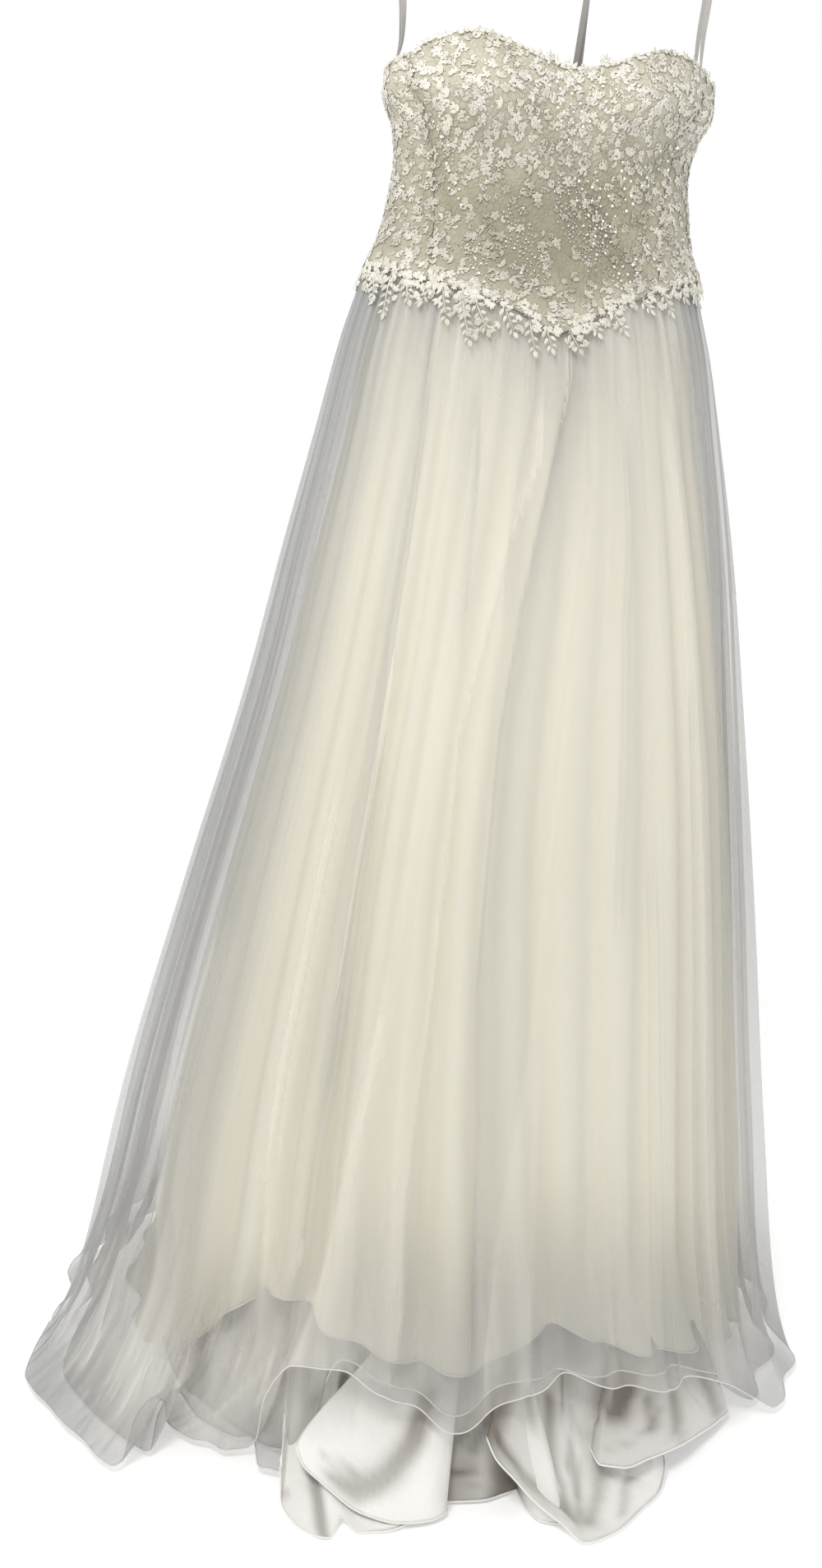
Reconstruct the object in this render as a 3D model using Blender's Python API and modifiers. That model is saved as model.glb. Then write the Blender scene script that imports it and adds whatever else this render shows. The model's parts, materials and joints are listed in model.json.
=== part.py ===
"""A strapless wedding dress that hangs by three ribbon loops from a plain plastic hanger.

Metres, +Z up, front towards -Y. The origin is the bearing point of the hanger's hook. The tables
give heights above the floor that the train lies on, HANG below the origin. A turn is an angle
round the dress in degrees: 0 at the centre front, 90 at the +X side seam, 180 at the centre back.
"""

import math
from collections import namedtuple

import bmesh
import bpy
import numpy as np

# Driving sizes
HANG = 1.930  # from the floor up to the hook's bearing point
GAP = 0.0003  # between pieces that are sewn together
SKIRT_CLOTH = 0.0015
BODICE_CLOTH = 0.0028  # lace over a boned foundation
LACE_CLOTH = 0.0012
LACE_RELIEF = 0.0020  # how far a corded flower stands up from the bodice
LACE_LIFT = 0.0011  # between the hanging lace edge and the skirt below it
RIBBON_WIDTH = 0.0065
RIBBON_CLOTH = 0.0010

# Outline of the outer skirt, at the crests of its folds
Section = namedtuple("Section", "height centre side front back")
SKIRT = [
    Section(1.400, -0.003, 0.200, 0.078, 0.078),
    Section(1.355, -0.005, 0.214, 0.086, 0.088),
    Section(1.300, -0.005, 0.231, 0.100, 0.105),
    Section(1.200, -0.006, 0.254, 0.132, 0.138),
    Section(1.050, -0.010, 0.287, 0.178, 0.188),
    Section(0.884, -0.015, 0.319, 0.228, 0.245),
    Section(0.620, -0.030, 0.375, 0.296, 0.325),
    Section(0.342, -0.042, 0.431, 0.352, 0.400),
    Section(0.150, -0.047, 0.468, 0.384, 0.450),
    Section(0.000, -0.060, 0.502, 0.400, 0.490),
]
# Outline of the bodice from its top edge to the waist seam
BODICE = [
    Section(1.660, 0.000, 0.180, 0.082, 0.080),
    Section(1.615, 0.001, 0.193, 0.090, 0.086),
    Section(1.577, 0.000, 0.196, 0.092, 0.088),
    Section(1.540, -0.002, 0.181, 0.087, 0.084),
    Section(1.504, -0.003, 0.176, 0.080, 0.080),
    Section(1.467, -0.003, 0.181, 0.076, 0.077),
    Section(1.430, -0.003, 0.188, 0.075, 0.076),
] + SKIRT[:3]
# Moulded cups
CUP_X = 0.094
CUP_HEIGHT = 1.562
CUP_DEPTH = 0.027
CUP_WIDE = 0.052
CUP_TALL = 0.040

# Top edge of the bodice: sweetheart neckline in front, nearly level behind
Edge = namedtuple("Edge", "turn height")
TOP_EDGE = [
    Edge(-180, 1.588),
    Edge(-130, 1.593),
    Edge(-90, 1.601),
    Edge(-64, 1.609),
    Edge(-46, 1.624),
    Edge(-32, 1.629),
    Edge(-18, 1.615),
    Edge(3, 1.597),
    Edge(22, 1.614),
    Edge(36, 1.628),
    Edge(50, 1.626),
    Edge(66, 1.613),
    Edge(90, 1.603),
    Edge(130, 1.593),
    Edge(180, 1.588),
]
# Waist seam: a V in front, a shallow dip behind, slightly lower on the -X side
WAIST = [
    Edge(-180, 1.368),
    Edge(-150, 1.374),
    Edge(-120, 1.380),
    Edge(-90, 1.379),
    Edge(-60, 1.374),
    Edge(-40, 1.364),
    Edge(-25, 1.353),
    Edge(-12, 1.340),
    Edge(4, 1.316),
    Edge(20, 1.345),
    Edge(33, 1.361),
    Edge(48, 1.376),
    Edge(68, 1.389),
    Edge(90, 1.394),
    Edge(120, 1.390),
    Edge(150, 1.379),
    Edge(180, 1.368),
]
# Princess seams run from the underarm to the front of the waist
PRINCESS_TOP = 65
PRINCESS_WAIST = 40
BACK_SEAM = 112
PANEL_ROWS = 13

# Folds of the skirt: where each crest is, and how deep the valley after it is at the hem
Fold = namedtuple("Fold", "crest valley")
FRONT_FOLDS = [
    Fold(-90, 0.026),
    Fold(-76, 0.022),
    Fold(-62, 0.030),
    Fold(-47, 0.042),
    Fold(-36, 0.056),
    Fold(-25, 0.022),
    Fold(-14, 0.030),
    Fold(-4, 0.024),
    Fold(7, 0.030),
    Fold(17, 0.022),
    Fold(28, 0.032),
    Fold(40, 0.036),
    Fold(53, 0.030),
    Fold(70, 0.028),
]
BACK_FOLDS = [
    Fold(90, 0.028),
    Fold(104, 0.034),
    Fold(119, 0.040),
    Fold(133, 0.030),
    Fold(148, 0.044),
    Fold(163, 0.036),
    Fold(178, 0.040),
    Fold(193, 0.034),
    Fold(208, 0.042),
    Fold(223, 0.030),
    Fold(238, 0.040),
    Fold(254, 0.032),
]
LAST_CREST = 270
FOLD_GROWTH = 0.85  # how the depth of a fold grows down the skirt
CREST_ROUND = 0.36  # depth a quarter of the way from crest to crest, 0.5 on a sharp pleat

# Where each hem hangs or lies: its height, and its reach as a share of the outline at the floor
Hem = namedtuple("Hem", "turn height reach")
TULLE_HEM = [
    Hem(-90, 0.000, 1.02),
    Hem(-76, 0.000, 1.07),
    Hem(-62, 0.000, 1.09),
    Hem(-47, 0.000, 1.12),
    Hem(-42, 0.000, 1.01),
    Hem(-36, 0.000, 0.96),
    Hem(-31, 0.110, 0.95),
    Hem(-25, 0.160, 0.94),
    Hem(-14, 0.138, 0.95),
    Hem(-4, 0.100, 0.97),
    Hem(7, 0.138, 0.95),
    Hem(12, 0.147, 0.95),
    Hem(19, 0.128, 0.96),
    Hem(28, 0.107, 0.97),
    Hem(36, 0.098, 0.98),
    Hem(46, 0.050, 1.00),
    Hem(55, 0.000, 1.04),
    Hem(63, 0.000, 1.05),
    Hem(76, 0.000, 0.99),
    Hem(90, 0.000, 0.99),
    Hem(120, 0.000, 1.06),
    Hem(150, 0.000, 1.17),
    Hem(180, 0.000, 1.24),
    Hem(210, 0.000, 1.16),
    Hem(240, 0.000, 1.05),
    Hem(270, 0.000, 1.02),
]
UNDER_HEM = [
    Hem(-90, 0.000, 0.97),
    Hem(-62, 0.000, 1.01),
    Hem(-47, 0.000, 0.99),
    Hem(-36, 0.060, 0.90),
    Hem(-25, 0.165, 0.91),
    Hem(-14, 0.145, 0.915),
    Hem(-4, 0.112, 0.935),
    Hem(7, 0.146, 0.915),
    Hem(28, 0.118, 0.925),
    Hem(40, 0.090, 0.94),
    Hem(53, 0.010, 0.97),
    Hem(70, 0.000, 0.97),
    Hem(90, 0.000, 0.94),
    Hem(120, 0.000, 1.00),
    Hem(180, 0.000, 1.16),
    Hem(240, 0.000, 0.98),
    Hem(270, 0.000, 0.97),
]
LINING_HEM = [
    Hem(-90, 0.000, 0.80),
    Hem(-62, 0.060, 0.79),
    Hem(-47, 0.150, 0.76),
    Hem(-36, 0.190, 0.77),
    Hem(-25, 0.172, 0.82),
    Hem(-14, 0.155, 0.85),
    Hem(-2, 0.140, 0.86),
    Hem(11, 0.190, 0.86),
    Hem(20, 0.160, 0.86),
    Hem(29, 0.128, 0.86),
    Hem(40, 0.110, 0.86),
    Hem(55, 0.060, 0.86),
    Hem(72, 0.000, 0.85),
    Hem(90, 0.000, 0.82),
    Hem(120, 0.000, 0.90),
    Hem(180, 0.000, 1.06),
    Hem(240, 0.000, 0.92),
    Hem(270, 0.000, 0.80),
]
SATIN_HEM = [
    Hem(-90, 0.000, 0.74),
    Hem(-60, 0.000, 0.76),
    Hem(-40, 0.000, 0.78),
    Hem(-32, 0.000, 0.84),
    Hem(-27, 0.000, 0.98),
    Hem(-22, 0.000, 1.08),
    Hem(-17, 0.000, 1.08),
    Hem(-11, 0.000, 1.04),
    Hem(-6, 0.000, 1.00),
    Hem(-2, 0.000, 0.91),
    Hem(3, 0.000, 0.91),
    Hem(7, 0.000, 1.00),
    Hem(11, 0.000, 1.13),
    Hem(16, 0.000, 1.10),
    Hem(22, 0.000, 1.04),
    Hem(27, 0.000, 0.97),
    Hem(32, 0.000, 0.89),
    Hem(40, 0.000, 0.91),
    Hem(48, 0.000, 0.92),
    Hem(56, 0.000, 0.84),
    Hem(70, 0.000, 0.76),
    Hem(90, 0.000, 0.74),
    Hem(135, 0.000, 0.84),
    Hem(180, 0.000, 0.94),
    Hem(225, 0.000, 0.84),
    Hem(270, 0.000, 0.74),
]

# Each layer's size as a share of the outer skirt's, down its height
Share = namedtuple("Share", "height side depth")
OUTER_SHARE = [Share(1.400, 1.0, 1.0), Share(0.0, 1.0, 1.0)]
UNDER_SHARE = [
    Share(1.360, 0.975, 0.972),
    Share(1.200, 0.965, 0.960),
    Share(0.900, 0.955, 0.955),
    Share(0.000, 0.945, 0.955),
]
LINING_SHARE = [
    Share(1.360, 0.950, 0.944),
    Share(1.300, 0.880, 0.905),
    Share(1.200, 0.850, 0.900),
    Share(0.800, 0.865, 0.905),
    Share(0.300, 0.825, 0.895),
    Share(0.000, 0.800, 0.890),
]
SATIN_SHARE = [
    Share(1.360, 0.926, 0.917),
    Share(1.300, 0.840, 0.860),
    Share(1.200, 0.800, 0.840),
    Share(0.800, 0.810, 0.845),
    Share(0.300, 0.770, 0.800),
    Share(0.000, 0.740, 0.760),
]
# How a layer is made: its share of the outline and of the folds, its columns for each fold, how
# far its top is below the waist seam, where its lower part starts to curve, the height of its top
# side on the floor, and its hem
Layer = namedtuple("Layer", "name share folding columns below bend lying hem")
LAYERS = [
    Layer("tulle_outer", OUTER_SHARE, 1.00, 4, 0.0006, 0.30, 0.0098, TULLE_HEM),
    Layer("tulle_under", UNDER_SHARE, 1.00, 2, 0.0020, 0.29, 0.0072, UNDER_HEM),
    Layer("lining", LINING_SHARE, 0.92, 2, 0.0030, 0.26, 0.0046, LINING_HEM),
    Layer("satin", SATIN_SHARE, 0.80, 3, 0.0040, 0.17, 0.0020, SATIN_HEM),
]
SKIRT_LOOK = {
    "tulle_outer": "tulle", "tulle_under": "tulle", "lining": "lining", "satin": "satin",
}  # fmt: skip
UPPER_ROWS = [0.00, 0.07, 0.20, 0.42, 0.70, 1.00]  # shares of the way from waist to bend
LOWER_ROWS = [0.33, 0.66, 1.00]  # shares of the way from bend to hem
BEND_PULL = 0.35  # how soon a layer turns out along the floor

# The lace that hangs over the top of the skirt: how far it drops below the waist seam
Drop = namedtuple("Drop", "turn drop")
LACE_EDGE = [
    Drop(-90, 0.020),
    Drop(-76, 0.022),
    Drop(-66, 0.034),
    Drop(-56, 0.056),
    Drop(-47, 0.030),
    Drop(-38, 0.030),
    Drop(-31, 0.045),
    Drop(-27, 0.034),
    Drop(-22, 0.062),
    Drop(-17, 0.036),
    Drop(-9, 0.026),
    Drop(-3, 0.030),
    Drop(2, 0.020),
    Drop(9, 0.028),
    Drop(15, 0.020),
    Drop(24, 0.034),
    Drop(34, 0.018),
    Drop(44, 0.030),
    Drop(54, 0.018),
    Drop(66, 0.028),
    Drop(78, 0.018),
    Drop(90, 0.020),
    Drop(112, 0.040),
    Drop(128, 0.020),
    Drop(144, 0.044),
    Drop(160, 0.022),
    Drop(180, 0.046),
    Drop(200, 0.022),
    Drop(216, 0.044),
    Drop(232, 0.020),
    Drop(248, 0.040),
    Drop(270, 0.020),
]

# Covered buttons down the centre back
BUTTONS = 8
BUTTON_RADIUS = 0.0055
BUTTON_TALL = 0.0036
BUTTON_TOP = 1.570
BUTTON_STEP = 0.0235
BUTTON_ASIDE = 0.008
BUTTON_LIFT = 0.0008  # clear of the back, which curves between its rows

# Hanger
BAR_RADIUS = 0.0070
HOOK_RADIUS = 0.0035
HOOK_INSIDE = 0.0220  # radius of the space that a rail goes through
HOOK_END = 205  # angle where the hook's free end is
Bar = namedtuple("Bar", "x height")
BAR = [Bar(0.215, 1.720), Bar(0.160, 1.738), Bar(0.090, 1.766), Bar(0.035, 1.786), Bar(0.0, 1.791)]

# Ribbon loops, from the bodice up to the bar: the middle of the two strands, how far each strand
# is from it, and the direction of the ribbon's width, 0 along X and 90 along Y
Station = namedtuple("Station", "height x y aside_x aside_y width")
SIDE_LOOP = [
    Station(1.570, 0.1886, 0.000, 0.000, 0.0110, 90),
    Station(1.598, 0.1872, 0.000, 0.000, 0.0105, 90),
    Station(1.625, 0.1775, 0.000, 0.000, 0.0098, 62),
    Station(1.665, 0.1775, 0.000, 0.000, 0.0090, 25),
    Station(1.700, 0.1810, 0.000, 0.000, 0.0084, 0),
    Station(1.7303, 0.1835, 0.000, 0.000, 0.0084, 0),
]
BACK_LOOP = [
    Station(1.562, 0.0450, 0.0775, 0.0042, 0.0000, 0),
    Station(1.588, 0.0450, 0.0750, 0.0040, 0.0000, 0),
    Station(1.650, 0.0440, 0.0480, 0.0028, 0.0024, 0),
    Station(1.720, 0.0425, 0.0180, 0.0014, 0.0060, 0),
    Station(1.7836, 0.0415, 0.0000, 0.0008, 0.0084, 0),
]
LOOP_ARC_STEPS = 6
LOOP_RISE = 0.0102  # from the middle of the sloping bar up to the middle of the ribbon over it

COLOURS = {
    "lace": (0.90, 0.87, 0.80),
    "tulle": (0.86, 0.85, 0.81),
    "lining": (0.88, 0.85, 0.77),
    "satin": (0.93, 0.91, 0.87),
    "ribbon": (0.94, 0.93, 0.90),
    "plastic": (0.92, 0.92, 0.92),
}
ROUGHNESS = {
    "lace": 0.70, "tulle": 0.85, "lining": 0.65, "satin": 0.38, "ribbon": 0.45, "plastic": 0.30,
}  # fmt: skip


# Helpers

for old in list(bpy.data.objects):
    bpy.data.objects.remove(old, do_unlink=True)
DRESS = bpy.data.collections.new("wedding_dress")
bpy.context.scene.collection.children.link(DRESS)


def material(name):
    """The material of that name, made when it is first asked for."""
    found = bpy.data.materials.get(name)
    if found:
        return found
    made = bpy.data.materials.new(name)
    made.use_nodes = True
    shader = made.node_tree.nodes["Principled BSDF"]
    shader.inputs["Base Color"].default_value = (*COLOURS[name], 1)
    shader.inputs["Roughness"].default_value = ROUGHNESS[name]
    shader.inputs["Metallic"].default_value = 0
    return made


def add(name, data, look):
    """A new object of the dress with its own material."""
    made = bpy.data.objects.new(name, data)
    data.materials.append(material(look))
    DRESS.objects.link(made)
    return made


def along(rows, x, column):
    """A column of a table at x, on a smooth curve through its rows, which are sorted by their
    first column."""
    keys = [row[0] for row in rows]
    values = [row[rows[0]._fields.index(column)] for row in rows]
    if keys[0] > keys[-1]:
        keys.reverse()
        values.reverse()
    x = min(max(x, keys[0]), keys[-1])
    i = min(max(int(np.searchsorted(keys, x)) - 1, 0), len(keys) - 2)
    step = keys[i + 1] - keys[i]
    slope = (values[i + 1] - values[i]) / step

    def tangent(j):
        if j in (0, len(keys) - 1):
            return slope
        before = (values[j] - values[j - 1]) / (keys[j] - keys[j - 1])
        after = (values[j + 1] - values[j]) / (keys[j + 1] - keys[j])
        return 0 if before * after <= 0 else 2 * before * after / (before + after)

    t = (x - keys[i]) / step
    start = (1 + 2 * t) * (1 - t) ** 2 * values[i] + t * (1 - t) ** 2 * step * tangent(i)
    end = t * t * (3 - 2 * t) * values[i + 1] - t * t * (1 - t) * step * tangent(i + 1)
    return start + end


def straight(rows, x, column):
    """A column of a table at x, on straight lines through its rows."""
    return float(np.interp(x, [row[0] for row in rows], [getattr(row, column) for row in rows]))


def grid_mesh(name, points):
    """An open surface through rows of points, each from -X to +X seen from its own side."""
    rows, columns = len(points), len(points[0])
    mesh = bpy.data.meshes.new(name)
    faces = []
    for r in range(rows - 1):
        for c in range(columns - 1):
            here = r * columns + c
            below = here + columns
            faces.append((here, below, below + 1, here + 1))
    mesh.from_pydata([p for row in points for p in row], [], faces)
    mesh.update()
    return mesh


def solidify(made, thickness, offset):
    """Give an open surface the cloth's thickness."""
    wall = made.modifiers.new("cloth", "SOLIDIFY")
    wall.thickness = thickness
    wall.offset = offset
    wall.use_quality_normals = True


def loft_wall(name, outer, inner, look):
    """A closed wall between an outer and an inner surface of the same rows and columns."""
    rows, columns = len(outer), len(outer[0])
    points = [p for row in outer for p in row] + [p for row in inner for p in row]
    inside = rows * columns
    faces = []
    for r in range(rows - 1):
        for c in range(columns - 1):
            a, b = r * columns + c, (r + 1) * columns + c
            faces.append((a, b, b + 1, a + 1))
            faces.append((inside + a, inside + a + 1, inside + b + 1, inside + b))
    top = list(range(columns))
    right = [r * columns + columns - 1 for r in range(1, rows)]
    bottom = [(rows - 1) * columns + c for c in range(columns - 2, -1, -1)]
    left = [r * columns for r in range(rows - 2, 0, -1)]
    rim = top + right + bottom + left
    for a, b in zip(rim, rim[1:] + rim[:1]):
        faces.append((a, b, inside + b, inside + a))
    mesh = bpy.data.meshes.new(name)
    mesh.from_pydata(points, [], faces)
    mesh.update()
    return add(name, mesh, look)


# Bodice: front, two sides and two backs, with the corded lace raised on their outside


def waist_height(turn):
    """Height of the waist seam, at any turn from -180 to 270."""
    return along(WAIST, turn if turn <= 180 else turn - 360, "height")


def bodice_point(turn, height):
    """A point of the bodice's outer side, and the way out from it."""
    s, c = math.sin(math.radians(turn)), math.cos(math.radians(turn))
    side = along(BODICE, height, "side")
    depth = along(BODICE, height, "front" if c > 0 else "back")
    flat = math.copysign(abs(c) ** 0.86, c)
    x = along(BODICE, height, "centre") + side * s
    y = -depth * flat
    if c > 0:
        tall = math.exp(-(((height - CUP_HEIGHT) / CUP_TALL) ** 2))
        for cup in (-CUP_X, CUP_X):
            y -= CUP_DEPTH * tall * math.exp(-(((x - cup) / CUP_WIDE) ** 2)) * min(1, 3 * c)
    out = np.array([s / side, -flat / depth, 0.0])
    return np.array([x, y, height - HANG]), out / np.linalg.norm(out)


def flower(row, column, rows, columns, plain):
    """How far the lace stands up at a grid point: staggered flowers that keep off the seams."""
    if row in (0, rows - 1) or column in (0, columns - 1) or column in plain:
        return 0.0
    r, c = row % 4, column % 4
    if (r, c) in ((2, 2), (0, 0)):
        return 1.0
    if (r, c) in ((1, 2), (3, 2), (2, 1), (2, 3), (0, 1), (0, 3), (1, 0), (3, 0)):
        return 0.55
    return 0.0


def bodice_panel(name, start, end, columns, plain=()):
    """A panel between two seams, each a function of the share of the way down to the waist."""
    rows = PANEL_ROWS
    outer, inner = [], []
    for r in range(rows):
        down = r / (rows - 1)
        first, last = start(down), end(down)
        outer_row, inner_row = [], []
        for c in range(columns):
            turn = first + (last - first) * c / (columns - 1)
            top, bottom = along(TOP_EDGE, turn, "height"), waist_height(turn)
            point, out = bodice_point(turn, top + (bottom - top) * down)
            outer_row.append(point + out * LACE_RELIEF * flower(r, c, rows, columns, plain))
            inner_row.append(point - out * BODICE_CLOTH)
        outer.append(outer_row)
        inner.append(inner_row)
    return loft_wall(name, outer, inner, "lace")


def princess(down):
    """Turn of the princess seam."""
    return PRINCESS_TOP + (PRINCESS_WAIST - PRINCESS_TOP) * down


# Half a seam's gap as a turn, at the centre back and where the bodice curves round
BACK_TURN = math.degrees(GAP / 2 / 0.085)
SIDE_TURN = math.degrees(GAP / 2 / 0.120)
bodice_panel("bodice_front", lambda v: SIDE_TURN - princess(v), lambda v: princess(v) - SIDE_TURN,
             25)  # fmt: skip
bodice_panel("bodice_side_right", lambda v: princess(v) + SIDE_TURN,
             lambda v: BACK_SEAM - SIDE_TURN, 11)  # fmt: skip
bodice_panel("bodice_side_left", lambda v: SIDE_TURN - BACK_SEAM,
             lambda v: -SIDE_TURN - princess(v), 11)  # fmt: skip
bodice_panel("bodice_back_right", lambda v: BACK_SEAM + SIDE_TURN, lambda v: 180 - BACK_TURN,
             11, plain=(8, 9))  # fmt: skip
bodice_panel("bodice_back_left", lambda v: BACK_TURN - 180, lambda v: -BACK_SEAM - SIDE_TURN,
             11, plain=(1, 2))  # fmt: skip


# Covered buttons down the centre back

for number in range(BUTTONS):
    height = BUTTON_TOP - number * BUTTON_STEP
    back_depth = along(BODICE, height, "back")
    shape = bmesh.new()
    bmesh.ops.create_cone(shape, cap_ends=True, segments=12, radius1=BUTTON_RADIUS,
                          radius2=BUTTON_RADIUS * 0.55, depth=BUTTON_TALL)  # fmt: skip
    mesh = bpy.data.meshes.new("button")
    shape.to_mesh(mesh)
    shape.free()
    button = add(f"back_button_{number + 1}", mesh, "satin")
    button.rotation_euler = (math.radians(-90), 0, 0)
    button.location = (BUTTON_ASIDE, back_depth + BUTTON_LIFT + BUTTON_TALL / 2, height - HANG)


# Skirt: four layers, each a front and a back that meet at the side seams


def fold_inset(turn):
    """How far the skirt lies inside its outline at the hem."""
    folds = FRONT_FOLDS + BACK_FOLDS
    crests = [fold.crest for fold in folds] + [LAST_CREST]
    turns, insets = [], []
    for fold, following in zip(folds, crests[1:]):
        width = following - fold.crest
        for share, depth in ((0, 0), (0.25, CREST_ROUND), (0.5, 1), (0.75, CREST_ROUND)):
            turns.append(fold.crest + share * width)
            insets.append(depth * fold.valley)
    turns.append(LAST_CREST)
    insets.append(0)
    return float(np.interp(turn, turns, insets))


def fold_turns(first, last, folds, columns):
    """The turns of a layer's columns: each fold's crest, then its valley or more between."""
    crests = [fold.crest for fold in folds] + [last]
    turns = []
    for crest, following in zip(crests, crests[1:]):
        turns += [crest + (following - crest) * k / columns for k in range(columns)]
    return turns + [last]


def skirt_section(layer, turn, height):
    """A point of a layer where it hangs at that height, in the plan."""
    s, c = math.sin(math.radians(turn)), math.cos(math.radians(turn))
    side = along(SKIRT, height, "side") * straight(layer.share[::-1], height, "side")
    depth = along(SKIRT, height, "front" if c > 0 else "back")
    depth *= straight(layer.share[::-1], height, "depth")
    grown = max(0, (waist_height(turn) - height) / waist_height(turn)) ** FOLD_GROWTH
    inset = fold_inset(turn) * layer.folding * grown
    out = np.array([s / side, -c / depth])
    out /= np.linalg.norm(out)
    centre = along(SKIRT, height, "centre")
    return np.array([centre + side * s, -depth * c]) - out * inset


def hem_point(layer, turn):
    """Where a layer's hem is."""
    s, c = math.sin(math.radians(turn)), math.cos(math.radians(turn))
    floor = SKIRT[-1]
    reach = along(layer.hem, turn, "reach")
    x = floor.centre + floor.side * s * reach
    y = -(floor.front if c > 0 else floor.back) * c * reach
    height = max(along(layer.hem, turn, "height"), layer.lying)
    out = np.array([s, -c])
    return np.array([x, y]) - out * fold_inset(turn) * layer.folding * 0.6, height


def skirt_column(layer, turn):
    """The points of one column of a layer, from the waist seam to the hem."""
    top = waist_height(turn) - layer.below
    points = []
    for share in UPPER_ROWS:
        height = top + (layer.bend - top) * share
        plan = skirt_section(layer, turn, height)
        points.append(np.array([*plan, height]))
    start = points[-1]
    plan, height = hem_point(layer, turn)
    end = np.array([*plan, height])
    pull = start + (end - start) * BEND_PULL
    pull[2] = height
    for share in LOWER_ROWS:
        points.append(start * (1 - share) ** 2 + pull * 2 * share * (1 - share) + end * share**2)
    return points


def inner_side(points, thickness):
    """The plain inner side of rows of points whose first and last columns lie in seam planes."""
    grid = np.array(points)
    down = np.gradient(grid, axis=0)
    across = np.gradient(grid, axis=1)
    out = np.cross(down, across)
    out[:, (0, -1), 1] = 0
    out /= np.linalg.norm(out, axis=2, keepdims=True)
    return grid - out * thickness


def skirt_half(layer, name, turns, way):
    """A front or a back of a layer, drawn back from the side seams by half their gap."""
    columns = [skirt_column(layer, turn) for turn in turns]
    points = [[p + (0, way * GAP / 2, -HANG) for p in row] for row in zip(*columns)]
    loft_wall(name, points, inner_side(points, SKIRT_CLOTH), SKIRT_LOOK[layer.name])
    return points


outer_rows = {}
for layer in LAYERS:
    front = fold_turns(-90, 90, FRONT_FOLDS, layer.columns)
    back = fold_turns(90, LAST_CREST, BACK_FOLDS, layer.columns)
    front_rows = skirt_half(layer, layer.name + "_front", front, -1)
    back_rows = skirt_half(layer, layer.name + "_back", back, 1)
    if layer.name == "tulle_outer":
        outer_rows["front"] = (front, front_rows)
        outer_rows["back"] = (back, back_rows)


# Lace edge: sprigs that hang from the waist seam over the outer skirt

for side, (turns, rows) in outer_rows.items():
    first, second = rows[0], rows[1]
    points = []
    for share in (0.0, 1.0):
        row = []
        for c, turn in enumerate(turns):
            high, low = first[c], second[c]
            across = first[min(c + 1, len(turns) - 1)] - first[max(c - 1, 0)]
            out = np.cross(low - high, across)
            drop = GAP + (straight(LACE_EDGE, turn, "drop") - GAP) * share
            point = high + (low - high) * drop / (high[2] - low[2])
            row.append(point + out / np.linalg.norm(out) * LACE_LIFT)
        points.append(row)
    edge = add("lace_edge_" + side, grid_mesh("lace_edge", points), "lace")
    solidify(edge, LACE_CLOTH, 1)


# Hanger: a plain bar and its hook, moulded in one piece


def swept(name, points, radius):
    """A round bar along points, as a mesh with welded caps."""
    path = bpy.data.curves.new(name, "CURVE")
    path.dimensions = "3D"
    path.bevel_depth = radius
    path.bevel_resolution = 2
    path.use_fill_caps = True
    spline = path.splines.new("POLY")
    spline.points.add(len(points) - 1)
    for place, point in zip(spline.points, points):
        place.co = (*point, 1)
    rod = bpy.data.objects.new(name, path)
    DRESS.objects.link(rod)
    bpy.context.view_layer.update()
    mesh = bpy.data.meshes.new_from_object(rod.evaluated_get(bpy.context.evaluated_depsgraph_get()))
    bpy.data.objects.remove(rod)
    shape = bmesh.new()
    shape.from_mesh(mesh)
    bmesh.ops.remove_doubles(shape, verts=shape.verts, dist=0.00005)
    shape.to_mesh(mesh)
    shape.free()
    return mesh


half = [(place.x, 0, place.height - HANG) for place in BAR]
hanger = add("hanger", swept("bar", half + [(-x, y, z) for x, y, z in half[-2::-1]], BAR_RADIUS),
             "plastic")  # fmt: skip
ring = HOOK_INSIDE + HOOK_RADIUS
stem = [(0, 0, BAR[-1].height - HANG), (0, 0, -HOOK_INSIDE - ring - 0.014)]
arc = []
for degrees in range(-65, HOOK_END + 1, 15):
    turn = math.radians(degrees)
    arc.append((ring * math.cos(turn), 0, -HOOK_INSIDE + ring * math.sin(turn)))
hook = add("hook", swept("hook", stem + arc, HOOK_RADIUS), "plastic")
join = hanger.modifiers.new("hook", "BOOLEAN")
join.operation = "UNION"
join.solver = "EXACT"
join.object = hook
guides = bpy.data.collections.new("guides")
bpy.context.scene.collection.children.link(guides)
DRESS.objects.unlink(hook)
guides.objects.link(hook)
hook.hide_render = True
hook.display_type = "WIRE"


# Ribbon loops: two strands sewn inside the bodice, joined over the bar


def ribbon_loop(name, stations, mirror):
    """A flat ribbon up one strand, over the bar and down the other."""
    path = []
    for sign, order in ((-1, stations), (1, stations[::-1])):
        for place in order:
            centre = np.array([mirror * (place.x + sign * place.aside_x),
                               place.y + sign * place.aside_y, place.height - HANG])  # fmt: skip
            path.append((centre, math.radians(place.width)))
        if sign < 0:
            top = stations[-1]
            for k in range(1, LOOP_ARC_STEPS):
                angle = math.pi * k / LOOP_ARC_STEPS
                across = -math.cos(angle)
                centre = np.array([mirror * (top.x + across * top.aside_x),
                                   top.y + across * top.aside_y,
                                   top.height + math.sin(angle) * LOOP_RISE - HANG])  # fmt: skip
                path.append((centre, math.radians(top.width)))
    edges = []
    for way in (-1, 1):
        wide = [np.array([math.cos(w), math.sin(w), 0]) * way * RIBBON_WIDTH / 2 for _, w in path]
        edges.append([centre + aside for (centre, _), aside in zip(path, wide)])
    loop = add(name, grid_mesh(name, edges), "ribbon")
    solidify(loop, RIBBON_CLOTH, 0)


ribbon_loop("hanger_loop_right", SIDE_LOOP, 1)
ribbon_loop("hanger_loop_left", SIDE_LOOP, -1)
ribbon_loop("hanger_loop_back", BACK_LOOP, 1)
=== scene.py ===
import json
import math

import bmesh
import bpy
import numpy as np
from mathutils import Matrix, Vector

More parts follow.
